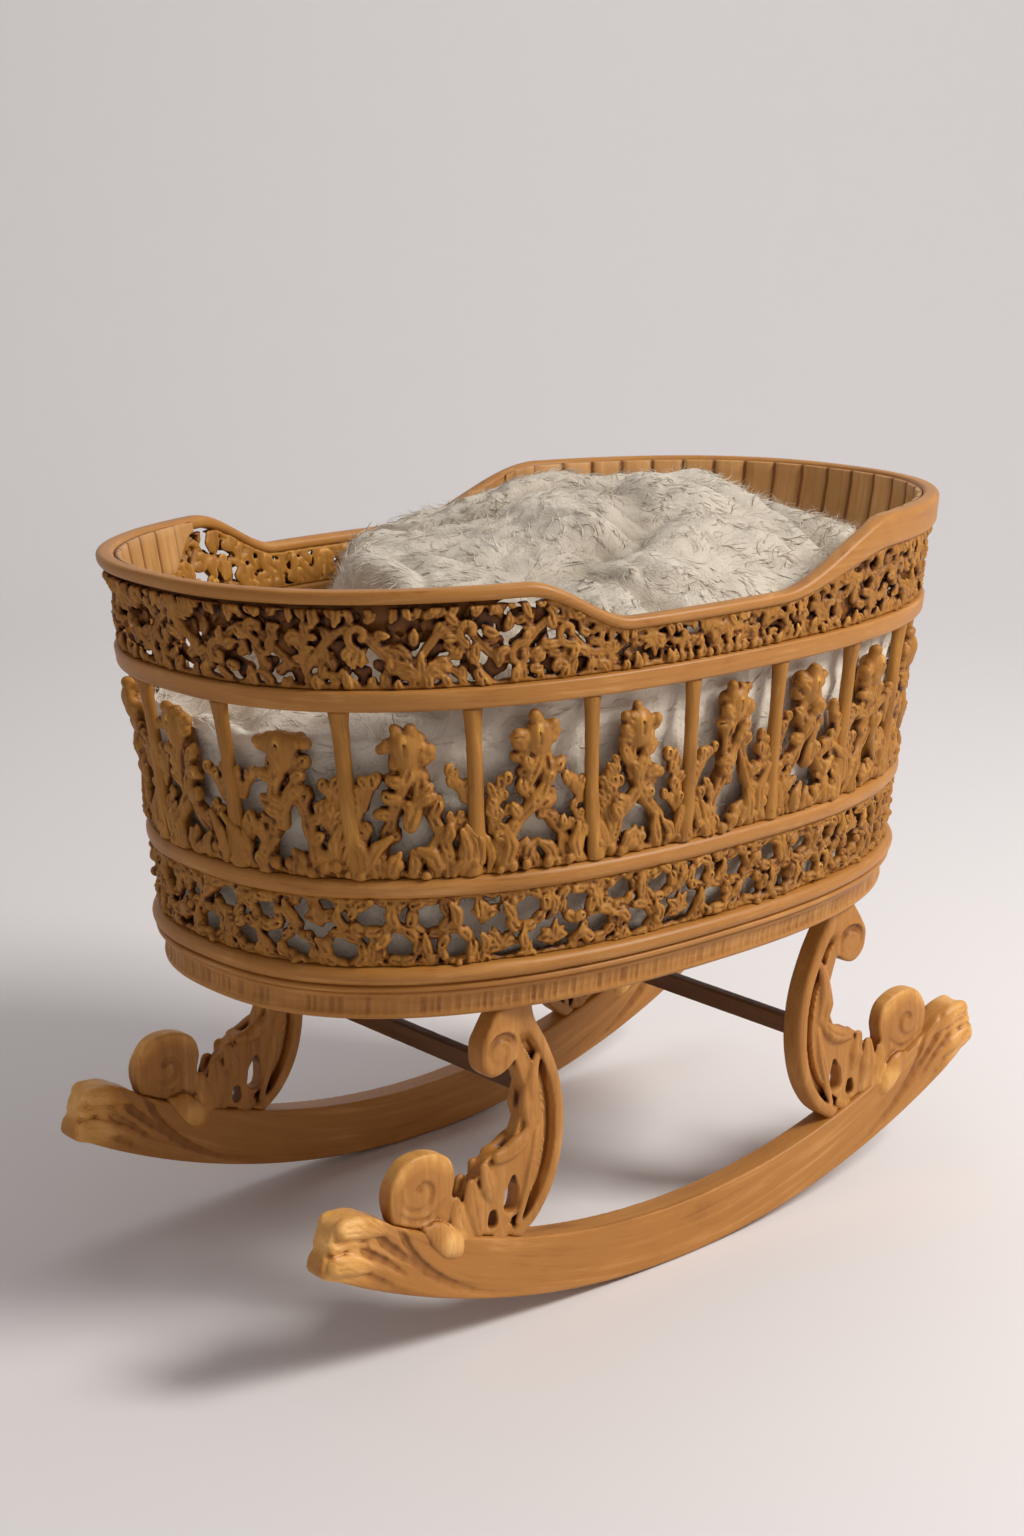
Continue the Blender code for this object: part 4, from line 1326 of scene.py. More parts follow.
def leg_highlight_and_wear(points):
    """Painted highlight, with wear: paler on the leg's bud and on the top edge of its big lobe."""
    x, z = points[:, 0], points[:, 2]
    bud = np.exp(-((x - 0.312) ** 2 + (z - 0.110) ** 2) / 0.020 ** 2)
    away = np.hypot(x - LOBE_MIDDLE[0], z - LOBE_MIDDLE[1])
    crest = ease(0.020, 0.034, away) * ease(0.172, 0.190, z)
    return 0.42 * bud + 0.30 * crest * (x > 0.28)


def rocker_tip_highlight_and_wear(points):
    """Painted highlight, with wear: the rocker's lobed tips are paler than its run."""
    tip = ease(0.385, 0.425, np.abs(points[:, 0])) * ease(0.095, 0.115, points[:, 2])
    return 0.34 * tip * (1.0 - ease(0.450, 0.458, np.abs(points[:, 0])))


def carve_leg():
    """A sawn and carved C-scroll for the head end, in its own flat frame."""
    block = Block((0.160, -0.0250, 0.070), (0.384, 0.0250, LEG_SEAT + 0.003), STAND_STEP)
    x = (block.low[0] + block.step * np.arange(block.size[0]))[:, None]
    z = (block.low[2] + block.step * np.arange(block.size[2]))[None, :]
    sole = np.stack([LEG_SOLE_X, rocker_top(LEG_SOLE_X) + 0.0004], axis=1)
    outline = np.concatenate([LEG_BACK, LEG_VOLUTE, LEG_INSIDE[1:], LEG_TOE[1:-1], sole[:-1]])
    flat = line_distance(x, z, outline, closed=True)
    from_back = line_distance(x, z, LEG_BACK)
    from_inside = line_distance(x, z, LEG_INSIDE)
    upright = ease(0.088, 0.112, z) * (1.0 - ease(0.278, 0.298, z))
    half = np.full(flat.shape, LEG_HALF - 0.0018)
    half += 0.0018 * bump(0.0, 0.0145, from_back) * (from_back < 0.0145)
    half -= 0.0095 * upright * np.clip(bump(0.0125, 0.0245, from_back) * 1.5, 0.0, 1.0) * (from_back < 0.0245)
    half -= 0.0025 * upright * (from_back >= 0.0245)
    away = np.hypot(x - LOBE_MIDDLE[0], z - LOBE_MIDDLE[1])
    half += 0.0036 * (1.0 - np.clip(away / 0.036, 0.0, 1.0) ** 2)
    half -= 0.0022 * bump(0.0, 0.010, from_inside) * (from_inside < 0.010) * (z < 0.24)
    round_part = np.hypot(x - VOLUTE_MIDDLE[0], z - VOLUTE_MIDDLE[1])
    half += 0.0020 * (1.0 - ease(0.019, 0.026, round_part))
    plate(block, flat, half, 0.0030)

    turn = np.linspace(0.0, 1.0, 22)
    wound = math.radians(205.0) - turn * math.radians(470.0)
    winding = 0.0190 - 0.0135 * turn
    volute_line = np.stack([
        VOLUTE_MIDDLE[0] + winding * np.cos(wound),
        np.full(22, LEG_HALF + 0.0012),
        VOLUTE_MIDDLE[1] + winding * np.sin(wound)], axis=1)
    groove(block, volute_line, np.linspace(0.0050, 0.0032, 22))

    for line, widths, squash, vein in LEG_LEAVES:
        points = faced(line, LEG_LEAF_DEPTH)
        leaf(block, points, taper(len(points), widths), squash, 0.0014, vein)
    bud = faced(LEG_BUD, ROCKER_HALF - 0.0040)
    bud_widths = taper(len(bud), (0.0085, 0.0132, 0.0142, 0.0045), (0.0, 0.30, 0.75, 1.0))
    leaf(block, bud, bud_widths, 1.7, 0.0004)
    bud_leaf = faced(LEG_BUD_LEAF, ROCKER_HALF - 0.0050)
    leaf(block, bud_leaf, taper(len(bud_leaf), (0.0040, 0.0095, 0.0060)), 1.9, 0.0006, 0.14)
    for line, over_face, radius in LEG_GROOVES:
        groove(block, faced(line, LEG_HALF + over_face), radius)
    for line, radii in LEG_HOLES:
        cut_through(block, line, radii)
    keep_below(block, LEG_SEAT)
    return block


def place_plate(block, name, node, middle_y, mirror_x, mirror_y, material, step_grain, painted_light_and_wear):
    """Skin a plate's block and stand it in its place."""
    points, quads = block.surface()
    # Painted shade in the recesses, then painted highlight and wear added where the wood is not in that shade.
    tone = block.tone(points, 0.008)
    tone = np.clip(tone + painted_light_and_wear(points) * ease(0.25, 0.5, tone), 0.0, 1.0)
    grain = step_grain(points)
    placed = points * np.array([mirror_x, 1.0, 1.0])
    placed[:, 1] = mirror_y * (points[:, 1] + middle_y)
    piece = make_piece(name, placed, quads, material, grain, tone)
    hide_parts(node)


def make_legs():
    block = carve_leg()
    shift = 0
    for end, mirror_x in (("head", 1.0), ("foot", -1.0)):
        for side, mirror_y in (("near", -1.0), ("far", 1.0)):
            shift += 1

            def upright_grain(points, shift=shift):
                return points[:, [2, 0, 1]] + 0.7 * shift

            name = f"leg_{end}_{side}"
            place_plate(block, f"{name}_carved", name, LEG_MIDDLE_Y, mirror_x, mirror_y, LEG_WOOD,
                        upright_grain, leg_highlight_and_wear)


ROCKER_TIP = smooth_through([
    (ROCKER_REACH, 0.1115), (0.4500, 0.1165), (0.4575, 0.1245), (0.4555, 0.1350), (0.4505, 0.1440), (0.4480, 0.1540),
    (0.4420, 0.1640), (0.4320, 0.1690), (0.4170, 0.1700), (0.4040, 0.1655), (0.3870, 0.1560), (0.3740, 0.1465)])


# Each groove: its line, its radii at start, bend and end, the bend's place, its height over the face, its blend.
ROCKER_GROOVES = (
    ([(0.372, 0.150), (0.356, 0.117), (0.334, 0.091), (0.306, 0.069), (0.268, 0.0475), (0.225, 0.0345)],
     (0.0040, 0.0036, 0.0012), 0.5, 0.0006, 0.002),
    ([(0.399, 0.160), (0.391, 0.140), (0.372, 0.121), (0.352, 0.104), (0.331, 0.083), (0.300, 0.060)],
     (0.0046, 0.0040, 0.0014), 0.4, 0.0008, 0.003),
    ([(0.4325, 0.1605), (0.4150, 0.1500), (0.4080, 0.1330), (0.3870, 0.1180), (0.3640, 0.0960)],
     (0.0052, 0.0042, 0.0014), 0.4, 0.0, 0.003),
    ([(0.4500, 0.1420), (0.4330, 0.1370), (0.4230, 0.1230), (0.4050, 0.1090), (0.3800, 0.0920)],
     (0.0052, 0.0038, 0.0012), 0.4, 0.0, 0.003),
)
# Each wavy fold of the leaf at a rocker's end: its line, its half widths, and its depth below the face.
TIP_FOLDS = (
    ([(0.3840, 0.1450), (0.4080, 0.1560), (0.4320, 0.1595)], (0.0040, 0.0105, 0.0100), 0.0036),
    ([(0.3980, 0.1350), (0.4200, 0.1430), (0.4420, 0.1460)], (0.0020, 0.0062, 0.0072), 0.0052),
    ([(0.3920, 0.1150), (0.4180, 0.1220), (0.4420, 0.1285)], (0.0040, 0.0108, 0.0110), 0.0044),
)


def carve_rocker():
    """A runner for the head-to-foot length, with acanthus lobes at both upturned ends."""
    block = Block((-0.470, -0.0220, -0.004), (0.470, 0.0220, 0.180), ROCKER_STEP)
    x = (block.low[0] + block.step * np.arange(block.size[0]))[:, None]
    z = (block.low[2] + block.step * np.arange(block.size[2]))[None, :]
    run = np.linspace(-ROCKER_REACH, ROCKER_REACH, 90)
    bottom = np.stack([run, rocker_bottom(run)], axis=1)
    back = np.linspace(0.374, -0.374, 70)
    top = np.stack([back, rocker_top(back)], axis=1)
    other_tip = ROCKER_TIP[::-1] * np.array([-1.0, 1.0])
    outline = np.concatenate([bottom[:-1], ROCKER_TIP[:-1], top[:-1], other_tip[:-1]])
    half = ROCKER_HALF - 0.0006 - 0.0030 * ease(0.40, 0.46, np.abs(x)) + 0.0 * z
    plate(block, line_distance(x, z, outline, closed=True), half, 0.0028)
    for way in (1.0, -1.0):
        carve_tip(block, np.array([way, 1.0, 1.0]))
    keep_above(block, 0.0)
    return block


def carve_tip(block, mirror):
    """The grooves and the folded leaf of one end."""
    for points, radii, bend, over_face, blend in ROCKER_GROOVES:
        line = faced(points, ROCKER_HALF + over_face) * mirror
        groove(block, line, taper(len(line), radii, (0.0, bend, 1.0)), blend)
    for points, widths, deep in TIP_FOLDS:
        line = faced(points, ROCKER_HALF - deep) * mirror
        line[:, 2] += 0.0014 * np.sin(np.linspace(0.0, 5.0, len(line)) + 900.0 * deep)
        widths = taper(len(line), widths)
        leaf(block, line, widths, FOLD_FLATNESS, 0.0004)
        for shift in (-0.0030, 0.0034):
            pleat = line[4:] + np.array([0.0, widths[-1] / FOLD_FLATNESS, shift])
            groove(block, pleat, np.linspace(0.0006, 0.0018, len(pleat)), 0.0008)


def make_rockers():
    block = carve_rocker()
    for side, mirror_y in (("near", -1.0), ("far", 1.0)):
        def curved_grain(points, mirror_y=mirror_y):
            radius = np.hypot(points[:, 0], ROCKER_RADIUS - points[:, 2])
            swing = np.arctan2(points[:, 0], ROCKER_RADIUS - points[:, 2]) * ROCKER_RADIUS
            flatter = radius + 0.10 * (swing * 1.3) ** 2
            return np.stack([swing * 0.6 + mirror_y, flatter * 0.8, points[:, 1]], axis=1)

        place_plate(block, f"rocker_{side}_carved", f"rocker_{side}", ROCKER_MIDDLE_Y, 1.0, mirror_y,
                    ROCKER_WOOD, curved_grain, rocker_tip_highlight_and_wear)


def make_stretcher(end):
    """A plain square bar with softened, slightly uneven edges."""
    low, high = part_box(f"stretcher_{end}")
    count = 90
    uneven = np.random.default_rng(3 if end == "foot" else 4)
    middle_x, _middle_y, middle_z = (low + high) / 2.0
    rows = []
    for y in np.linspace(low.y, high.y, count):
        half_x = (high.x - low.x) / 2.0 - uneven.uniform(0.0, 0.00015)
        half_z = (high.z - low.z) / 2.0 - uneven.uniform(0.0, 0.00015)
        section = rounded_section(-half_z, half_z, -half_x, half_x, 0.0022, 4)
        row = [middle_x + section[:, 0], np.full(len(section), y), middle_z + section[:, 1]]
        rows.append(np.stack(row, axis=1))
    points = np.array(rows)
    size = points.shape[1]
    points = points.reshape(-1, 3)
    quads = grid_quads(count, size, False, True)
    points, grain, caps = with_caps(points, points[:, [1, 0, 2]], count, size)
    bar = make_piece(f"stretcher_{end}_bar", points, np.concatenate([quads, caps]), DARK_WOOD, grain)
    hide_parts(f"stretcher_{end}")


PLANKS = 5
PLANK_ROWS = 14
PLANK_COLUMNS = 40
PLANK_GAP = 0.0004              # half the gap between two planks
PLANK_EDGE = 0.0012             # the chamfer round a plank


def plank_faces(rim, start, level_size):
    """The walls of a plank between two of its levels."""
    after = np.roll(rim, -1)
    return np.stack([rim + start, after + start, after + start + level_size, rim + start + level_size], axis=1)


def make_floor_board():
    """The tub's floor: planks laid side by side along its length, cut to the oval."""
    low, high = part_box("floor_board")
    edges = np.linspace(low.y, high.y, PLANKS + 1)
    levels = ((low.z, PLANK_EDGE), (low.z + PLANK_EDGE, 0.0), (high.z - PLANK_EDGE, 0.0), (high.z, PLANK_EDGE))
    level_size = PLANK_ROWS * PLANK_COLUMNS
    numbers = np.arange(level_size).reshape(PLANK_ROWS, PLANK_COLUMNS)
    rim = np.concatenate([numbers[0, :-1], numbers[:-1, -1], numbers[-1, :0:-1], numbers[:0:-1, 0]])
    face = grid_quads(PLANK_ROWS, PLANK_COLUMNS, False, False)
    points, quads, tone = [], [], []
    for k in range(PLANKS):
        ys = np.linspace(edges[k] + PLANK_GAP, edges[k + 1] - PLANK_GAP, PLANK_ROWS)
        reach = high.x * np.maximum(1.0 - np.abs(ys / high.y) ** OBLONG_POWER, 0.0) ** (1.0 / OBLONG_POWER)
        for z, inset in levels:
            x = np.outer(np.maximum(reach - inset, 0.0), np.linspace(-1.0, 1.0, PLANK_COLUMNS))
            y = np.repeat(ys, PLANK_COLUMNS).reshape(x.shape)
            y[0] += inset
            y[-1] -= inset
            points.append(np.stack([x, y, np.full(x.shape, z)], axis=-1).reshape(-1, 3))
        base = k * len(levels) * level_size
        quads += [face[:, ::-1] + base, face + base + 3 * level_size]
        quads += [plank_faces(rim, base + level * level_size, level_size) for level in range(3)]
        tone.append(np.full(len(levels) * level_size, 0.55 + 0.03 * ((k * 7) % 5)))
    points = np.concatenate(points)
    plank = np.clip(np.searchsorted(edges, points[:, 1]) - 1, 0, PLANKS - 1)
    grain = points + np.outer(plank, (0.9, 0.4, 0.0))
    board = make_piece("floor_planks", points, np.concatenate(quads), BOARD_WOOD, grain, np.concatenate(tone))
    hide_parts("floor_board")


make_legs()
make_rockers()
make_stretcher("foot")
make_stretcher("head")
make_floor_board()


# ---- bedding -----------------------------------------------------------------------------------
FLEECE_GAP = 0.0195             # from the wall's outer line to the fleece's side
FLEECE_COLUMNS = 440
FLEECE_MIDDLE = np.array([0.02, 0.0])
pad_low, pad_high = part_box("pad")
fleece_low, fleece_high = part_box("fleece")
PAD_GAP = 0.024                 # from the wall's outer line to the pad's edge
PIPING_RADIUS = 0.0028


def soft_noise(points, cell, seed):
    """Smooth noise from -1 to 1, with lumps about one cell wide."""
    table = np.random.default_rng(seed).uniform(-1.0, 1.0, (24, 24, 24))
    spot = points / cell + 100.0
    home = np.floor(spot).astype(int)
    part = spot - home
    part = part * part * (3.0 - 2.0 * part)
    value = np.zeros(len(points))
    for corner in np.ndindex(2, 2, 2):
        share = np.prod(np.where(corner, part, 1.0 - part), axis=1)
        i, j, k = ((home + corner) % 24).T
        value += share * table[i, j, k]
    return value


def heap_place(points):
    """How far along the cradle, for the heap: it is slanted, so that its far side starts nearer the head."""
    return points[:, 0] - 0.75 * np.maximum(points[:, 1], 0.0) * (1.0 - ease(0.0, 0.25, points[:, 0]))


def heap_crest(x):
    """The fleece's height along its middle."""
    return 0.596 + 0.122 * ease(-0.32, -0.22, x) + 0.036 * ease(-0.15, 0.02, x) - 0.060 * ease(0.18, 0.46, x)


def heap_edge(x):
    """The fleece's height where it meets the wall."""
    return 0.585 + 0.070 * ease(-0.30, -0.12, x) - 0.006 * ease(0.20, 0.42, x)


def fleece_rows():
    """The heap before it is roughened: rows of points from under its middle, up its side, to its top."""
    alongs = np.linspace(0.0, GIRTH, FLEECE_COLUMNS, endpoint=False)
    floor_z = fleece_low.z + 0.0008
    floor_line = on_wall(alongs, floor_z, -FLEECE_GAP)
    edge_z = heap_edge(heap_place(on_wall(alongs, RING_UPPER[0], -FLEECE_GAP)))
    rows = []
    for share in np.linspace(0.04, 0.97, 9):
        flat = FLEECE_MIDDLE + (floor_line[:, :2] - FLEECE_MIDDLE) * share
        rows.append(np.column_stack([flat, np.full(FLEECE_COLUMNS, floor_z)]))
    for share in np.linspace(0.0, 1.0, 58):
        z = floor_z + 0.004 * (share > 0.0) + (edge_z - floor_z - 0.004) * share
        rows.append(on_wall(alongs, z, -FLEECE_GAP))
    edge = rows[-1]
    for share in 1.0 - np.linspace(0.0, 0.985, 84)[1:]:
        flat = FLEECE_MIDDLE + (edge[:, :2] - FLEECE_MIDDLE) * share
        low, high = heap_edge(heap_place(flat)), heap_crest(heap_place(flat))
        rows.append(np.column_stack([flat, low + (high - low) * (1.0 - share ** 3) ** 0.8]))
    return np.stack(rows)


def outward_normals(rows):
    """Unit directions out of a rounded form made of rows of points."""
    across = np.roll(rows, -1, axis=1) - np.roll(rows, 1, axis=1)
    upwards = np.gradient(rows, axis=0)
    out = np.cross(across, upwards)
    return out / np.maximum(np.linalg.norm(out, axis=2, keepdims=True), 1e-9)


def wool_relief(points, gathered):
    """How far the wool stands out, and how open it is, for painted shade: soft masses, creases between them, and
    finer curls.
    """
    bent = points + 0.045 * np.column_stack([soft_noise(points, 0.13, seed) for seed in (11, 12, 13)])
    masses = soft_noise(bent, 0.12, 14)
    creases = np.abs(soft_noise(bent, 0.16, 15))
    folds = np.abs(soft_noise(bent, 0.062, 19))
    curls = np.abs(soft_noise(points + 0.010 * soft_noise(points, 0.03, 16)[:, None], 0.026, 17))
    strands = soft_noise(points, 0.0085, 18)
    crease = np.exp(-(creases / 0.10) ** 2)
    lift = gathered * (0.014 * masses - 0.017 * crease + 0.015 * (folds - 0.25)) + 0.0050 * (curls - 0.25)
    opened = 1.0 - 0.55 * crease - 0.25 * np.exp(-(folds / 0.08) ** 2) - 0.2 * np.exp(-(curls / 0.07) ** 2)
    return lift + 0.0010 * strands, opened


def make_fleece():
    rows = fleece_rows()
    count = len(rows)
    out = outward_normals(rows)
    points, normals = rows.reshape(-1, 3), out.reshape(-1, 3)
    top = np.repeat(ease(60.0, 78.0, np.arange(count)), FLEECE_COLUMNS)
    side = np.repeat(ease(9.0, 14.0, np.arange(count)), FLEECE_COLUMNS)
    lift, opened = wool_relief(points, 0.12 * side + 0.88 * top)
    points = points + normals * (lift * (0.1 + 0.9 * side))[:, None]
    points, grain, caps = with_caps(points, points, count, FLEECE_COLUMNS)
    quads = np.concatenate([grid_quads(count, FLEECE_COLUMNS, False, True), caps])
    # Painted shade and light: the top is darker in its creases, and the sides, which little light reaches, are
    # painted full bright.
    shade = 0.62 * opened ** 1.4 * top + (1.0 - top)
    tone = np.append(shade, [0.5, 0.8])
    heap = make_piece("fleece_heap", points, quads, FLEECE_WOOL, grain, tone, "fleece")
    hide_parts("fleece")
    grown = points[:-2].reshape(count, FLEECE_COLUMNS, 3)
    make_locks(grown, outward_normals(grown), shade)


LOCK_PIECES = 3
LOCKS_EACH = 6400
LOCK_RINGS = 4
HAIR_LENGTH, LOCK_LENGTH = (0.008, 0.022), (0.014, 0.030)
HAIR_RISE, LOCK_RISE = (0.10, 0.60), (0.00, 0.07)       # as a share of the length
HAIR_RADIUS, LOCK_RADIUS = (0.00014, 0.00026), (0.0004, 0.0010)


def either(draw, thin, hair, lock):
    """A value for each: drawn from the hair's range where thin, and from the lock's range elsewhere."""
    return np.where(thin, draw.uniform(*hair, LOCKS_EACH), draw.uniform(*lock, LOCKS_EACH))


def make_locks(rows, out, shades):
    """Wool locks that lie over the heap, and thin hairs that stand off it."""
    draw = np.random.default_rng(77)
    across = np.linalg.norm(np.roll(rows, -1, axis=1) - rows, axis=2)
    upwards = np.linalg.norm(np.gradient(rows, axis=0), axis=2)
    level = np.arange(len(rows))[:, None]
    weight = (across * upwards * (ease(9.0, 30.0, level) * 0.55 + ease(52.0, 66.0, level))).ravel()
    for number in range(LOCK_PIECES):
        chosen = draw.choice(weight.size, LOCKS_EACH, p=weight / weight.sum())
        root = rows.reshape(-1, 3)[chosen] + draw.normal(0.0, 0.0012, (LOCKS_EACH, 3))
        normal = out.reshape(-1, 3)[chosen]
        thin = draw.random(LOCKS_EACH) < 0.60
        turn = 3.4 * soft_noise(root, 0.09, 31) + 1.2 * soft_noise(root, 0.03, 32)
        turn += draw.normal(0.0, 0.30, LOCKS_EACH)
        flow = np.column_stack([np.cos(turn), np.sin(turn), 0.4 * np.sin(turn * 1.7)])
        flow -= normal * np.sum(flow * normal, axis=1, keepdims=True)
        flow /= np.linalg.norm(flow, axis=1, keepdims=True)
        side = np.cross(normal, flow)
        long = either(draw, thin, HAIR_LENGTH, LOCK_LENGTH)
        rise = either(draw, thin, HAIR_RISE, LOCK_RISE) * long
        sway = draw.uniform(-0.40, 0.40, LOCKS_EACH) * long
        thick = either(draw, thin, HAIR_RADIUS, LOCK_RADIUS)
        rings = []
        for t, share in zip(np.linspace(0.0, 1.0, LOCK_RINGS), (0.5, 1.0, 0.75, 0.08)):
            middle = root + flow * (long * t)[:, None] + side * (sway * math.sin(math.pi * t))[:, None]
            middle += normal * (rise * t ** 1.4 - 0.0008)[:, None]
            for k in range(4):
                way = side * math.cos(math.pi * k / 2.0) + 0.55 * normal * math.sin(math.pi * k / 2.0)
                rings.append(middle + way * (thick * share)[:, None])
        points = np.stack(rings, axis=1).reshape(-1, 3)
        quads = grid_quads(LOCK_RINGS, 4, False, True)
        last = 4 * (LOCK_RINGS - 1)
        quads = np.concatenate([quads, [[3, 2, 1, 0], [last, last + 1, last + 2, last + 3]]])
        size = 4 * LOCK_RINGS
        quads = (quads[None] + (np.arange(LOCKS_EACH) * size)[:, None, None]).reshape(-1, 4)
        # Each lock takes the painted shade and light of the heap under it, with some random tone.
        shade = np.clip(shades[chosen] + draw.uniform(-0.08, 0.16, LOCKS_EACH), 0.1, 1.0)
        name = f"fleece_wool_{number + 1}"
        locks = make_piece(name, points, quads, FLEECE_WOOL, points, np.repeat(shade, size), "fleece")


def inflate(piece, pressure, cap):
    """Let a closed cloth form swell, moving no point further than a cap."""
    cloth = piece.modifiers.new("cloth", "CLOTH")
    cloth.settings.use_pressure = True
    cloth.settings.uniform_pressure_force = pressure
    cloth.settings.effector_weights.gravity = 0.0
    cloth.settings.quality = 5
    cloth.point_cache.frame_start = 1
    cloth.point_cache.frame_end = 20
    for number in range(1, 21):
        bpy.context.scene.frame_set(number)
    swollen = piece.evaluated_get(bpy.context.evaluated_depsgraph_get()).to_mesh()
    after = np.zeros(len(piece.data.vertices) * 3, np.float32)
    before = after.copy()
    swollen.vertices.foreach_get("co", after)
    piece.data.vertices.foreach_get("co", before)
    moved = (after - before).reshape(-1, 3)
    far = np.maximum(np.linalg.norm(moved, axis=1, keepdims=True), 1e-9)
    moved *= np.minimum(1.0, cap / far)
    piece.modifiers.remove(cloth)
    piece.data.vertices.foreach_set("co", (before.reshape(-1, 3) + moved).ravel())
    bpy.context.scene.frame_set(1)


def applied(piece):
    """A piece's mesh as its modifiers leave it."""
    bpy.context.view_layer.update()
    return bpy.data.meshes.new_from_object(piece.evaluated_get(bpy.context.evaluated_depsgraph_get()))


def pad_blank():
    """The pad before it swells: a slab a little smaller than its place, rounded at its edge."""
    count = 240
    alongs = np.linspace(0.0, GIRTH, count, endpoint=False)
    low, high = pad_low.z + 0.004, pad_high.z - 0.0045
    profile = [(0.03, low), (0.5, low), (0.9, low), (0.985, low + 0.003), (1.0, (low + high) / 2.0),
               (0.985, high - 0.003), (0.9, high), (0.5, high), (0.03, high)]
    rows = []
    for share, z in profile:
        line = on_wall(alongs, pad_low.z, -PAD_GAP - 0.004)
        rows.append(np.column_stack([line[:, :2] * share, np.full(count, z)]))
    points, _grain, caps = with_caps(np.concatenate(rows), np.concatenate(rows), len(profile), count)
    quads = np.concatenate([grid_quads(len(profile), count, False, True), caps])
    return make_piece("pad_cushion", points, quads, PAD_CLOTH, body="pad")


QUILT_PITCH = 0.085


def sew_channels(mesh):
    """Crossing sewn lines that pull the pad's faces in, with painted shade along them."""
    points = np.zeros(len(mesh.vertices) * 3, np.float32)
    mesh.vertices.foreach_get("co", points)
    points = points.reshape(-1, 3)
    middle = (pad_low.z + pad_high.z) / 2.0
    pulled = np.zeros(len(points))
    for way in (1.0, -1.0):
        across = (points[:, 0] + way * points[:, 1]) / (QUILT_PITCH * math.sqrt(2.0)) + 0.5
        gap = np.abs(across - np.round(across)) * QUILT_PITCH
        pulled = np.maximum(pulled, np.exp(-(gap / 0.0075) ** 2))
    away = points[:, 2] - middle
    points[:, 2] = middle + away * (1.0 - 0.34 * pulled)
    mesh.vertices.foreach_set("co", points.ravel())
    store(mesh, "grain", "FLOAT_VECTOR", points)
    # Painted shade: darker along the sewn channels.
    store(mesh, "tone", "FLOAT", 0.75 - 0.35 * pulled)


def make_pad():
    pad = pad_blank()
    remesh = pad.modifiers.new("remesh", "REMESH")
    remesh.mode = "VOXEL"
    remesh.voxel_size = 0.007
    pad.data = applied(pad)
    pad.modifiers.clear()
    inflate(pad, 4.0, 0.0035)
    smooth = pad.modifiers.new("smooth", "SUBSURF")
    smooth.levels = smooth.render_levels = 1
    pad.data = applied(pad)
    pad.modifiers.clear()
    for name in ("grain", "tone"):
        if name in pad.data.attributes:
            pad.data.attributes.remove(pad.data.attributes[name])
    sew_channels(pad.data)
    pad.data.shade_smooth()
    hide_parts("pad")

    make_piping()


def make_piping():
    """A thin cord sewn round the pad's edge."""
    count, around = 300, 8
    alongs = np.linspace(0.0, GIRTH, count, endpoint=False)
    middle = on_wall(alongs, pad_low.z, -PAD_GAP - 0.0015)
    middle[:, 2] = (pad_low.z + pad_high.z) / 2.0
    ahead = np.roll(middle, -1, axis=0) - np.roll(middle, 1, axis=0)
    side = np.column_stack([ahead[:, 1], -ahead[:, 0], np.zeros(count)])
    side /= np.linalg.norm(side, axis=1, keepdims=True)
    turns = (np.arange(around) * 2.0 * math.pi / around)[None, :, None]
    spokes = side[:, None] * np.cos(turns) + np.array([0.0, 0.0, 1.0]) * np.sin(turns)
    ring = middle[:, None] + PIPING_RADIUS * spokes
    quads = grid_quads(count, around, True, True)
    piping = make_piece("pad_piping", ring.reshape(-1, 3), quads, PAD_CLOTH, body="pad")


make_fleece()
make_pad()


# ---- stage, light and camera -------------------------------------------------------------------
CAMERA_AIM = Vector((0.018, 0.065, 0.453))
CAMERA_DISTANCE = 2.6
CAMERA_AZIMUTH = math.radians(-41.34)
CAMERA_ELEVATION = math.radians(14.48)
CAMERA_LENS = 57.5              # on the 36 mm long side


def make_camera():
    lens = bpy.data.cameras.new("camera")
    lens.sensor_fit = "VERTICAL"
    lens.sensor_height = 36.0
    lens.lens = CAMERA_LENS
    camera = bpy.data.objects.new("camera", lens)
    bpy.context.scene.collection.objects.link(camera)
    level = math.cos(CAMERA_ELEVATION)
    back_x, back_y = math.sin(CAMERA_AZIMUTH) * level, -math.cos(CAMERA_AZIMUTH) * level
    camera.location = CAMERA_AIM + Vector((back_x, back_y, math.sin(CAMERA_ELEVATION))) * CAMERA_DISTANCE
    camera.rotation_euler = (math.radians(90.0) - CAMERA_ELEVATION, 0.0, CAMERA_AZIMUTH)
    bpy.context.scene.camera = camera


def area_light(name, place, aim, size, power, colour):
    lamp = bpy.data.lights.new(name, "AREA")
    lamp.shape = "RECTANGLE"
    lamp.size, lamp.size_y = size
    lamp.energy = power
    lamp.color = colour
    light = bpy.data.objects.new(name, lamp)
    bpy.context.scene.collection.objects.link(light)
    light.location = place
    light.rotation_euler = (Vector(aim) - Vector(place)).to_track_quat("-Z", "Y").to_euler()


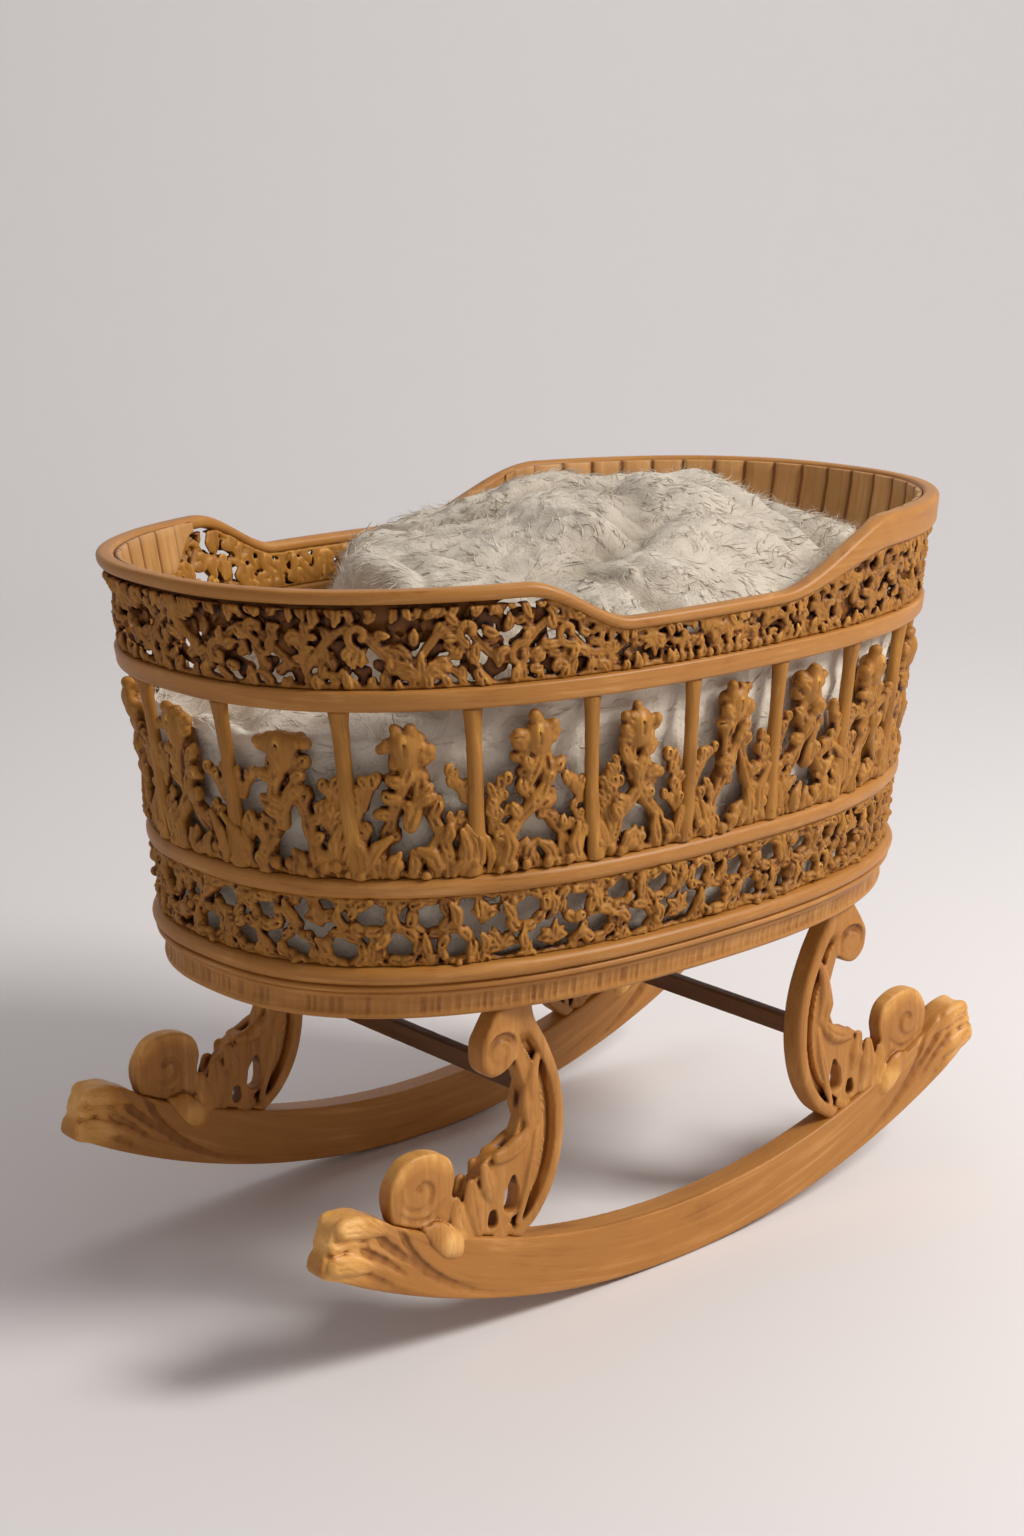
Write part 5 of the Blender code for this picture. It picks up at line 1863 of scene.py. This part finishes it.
STAGE_RADIUS = 5.5
STAGE_BEND = 2.2                # radius of the curve from floor to wall
STAGE_HEIGHT = 5.0
STAGE_SIDES = 96
STUDIO_PAINT = (0.79, 0.765, 0.765, 1.0)


def make_stage():
    """A round studio: a pale floor that turns up, with no edge, into its own wall."""
    paint = Finish("studio_paint")
    paint.fill(paint.shader, {"Base Color": STUDIO_PAINT, "Roughness": 0.9, "Specular IOR Level": 0.1})
    profile = [(radius, 0.0) for radius in np.linspace(0.02, STAGE_RADIUS - STAGE_BEND, 8)]
    for turn in np.radians(np.linspace(7.5, 90.0, 12)):
        inwards, upwards = 1.0 - math.sin(turn), 1.0 - math.cos(turn)
        profile.append((STAGE_RADIUS - STAGE_BEND * inwards, STAGE_BEND * upwards))
    profile.append((STAGE_RADIUS, STAGE_HEIGHT))
    turns = np.linspace(0.0, 2.0 * math.pi, STAGE_SIDES, endpoint=False)
    points = [(r * math.cos(t), r * math.sin(t), z - 0.0005) for r, z in profile for t in turns]
    quads = grid_quads(len(profile), STAGE_SIDES, False, True)
    mesh = bpy.data.meshes.new("studio")
    mesh.from_pydata(points, [], [*quads.tolist(), list(range(STAGE_SIDES))])
    mesh.shade_smooth()
    mesh.materials.append(paint.material)
    studio = bpy.data.objects.new("studio", mesh)
    bpy.context.scene.collection.objects.link(studio)


def make_light():
    world = bpy.data.worlds.new("studio")
    world.use_nodes = True
    sky = world.node_tree.nodes["Background"]
    sky.inputs["Color"].default_value = (1.0, 0.98, 0.98, 1.0)
    sky.inputs["Strength"].default_value = 0.27
    bpy.context.scene.world = world
    bpy.context.scene.view_settings.view_transform = "Standard"
    area_light("key", (1.62, -2.32, 2.80), (0.0, 0.0, 0.4), (1.2, 1.2), 131.0, (1.0, 0.97, 0.93))
    area_light("top", (0.4, 0.9, 3.2), (0.0, 0.0, 0.4), (2.2, 2.2), 14.0, (1.0, 0.99, 0.98))
    area_light("backdrop", (2.2, 1.6, 3.6), (4.2, 3.4, 1.6), (2.4, 2.4), 36.0, (1.0, 0.99, 0.99))


make_camera()
make_stage()
make_light()
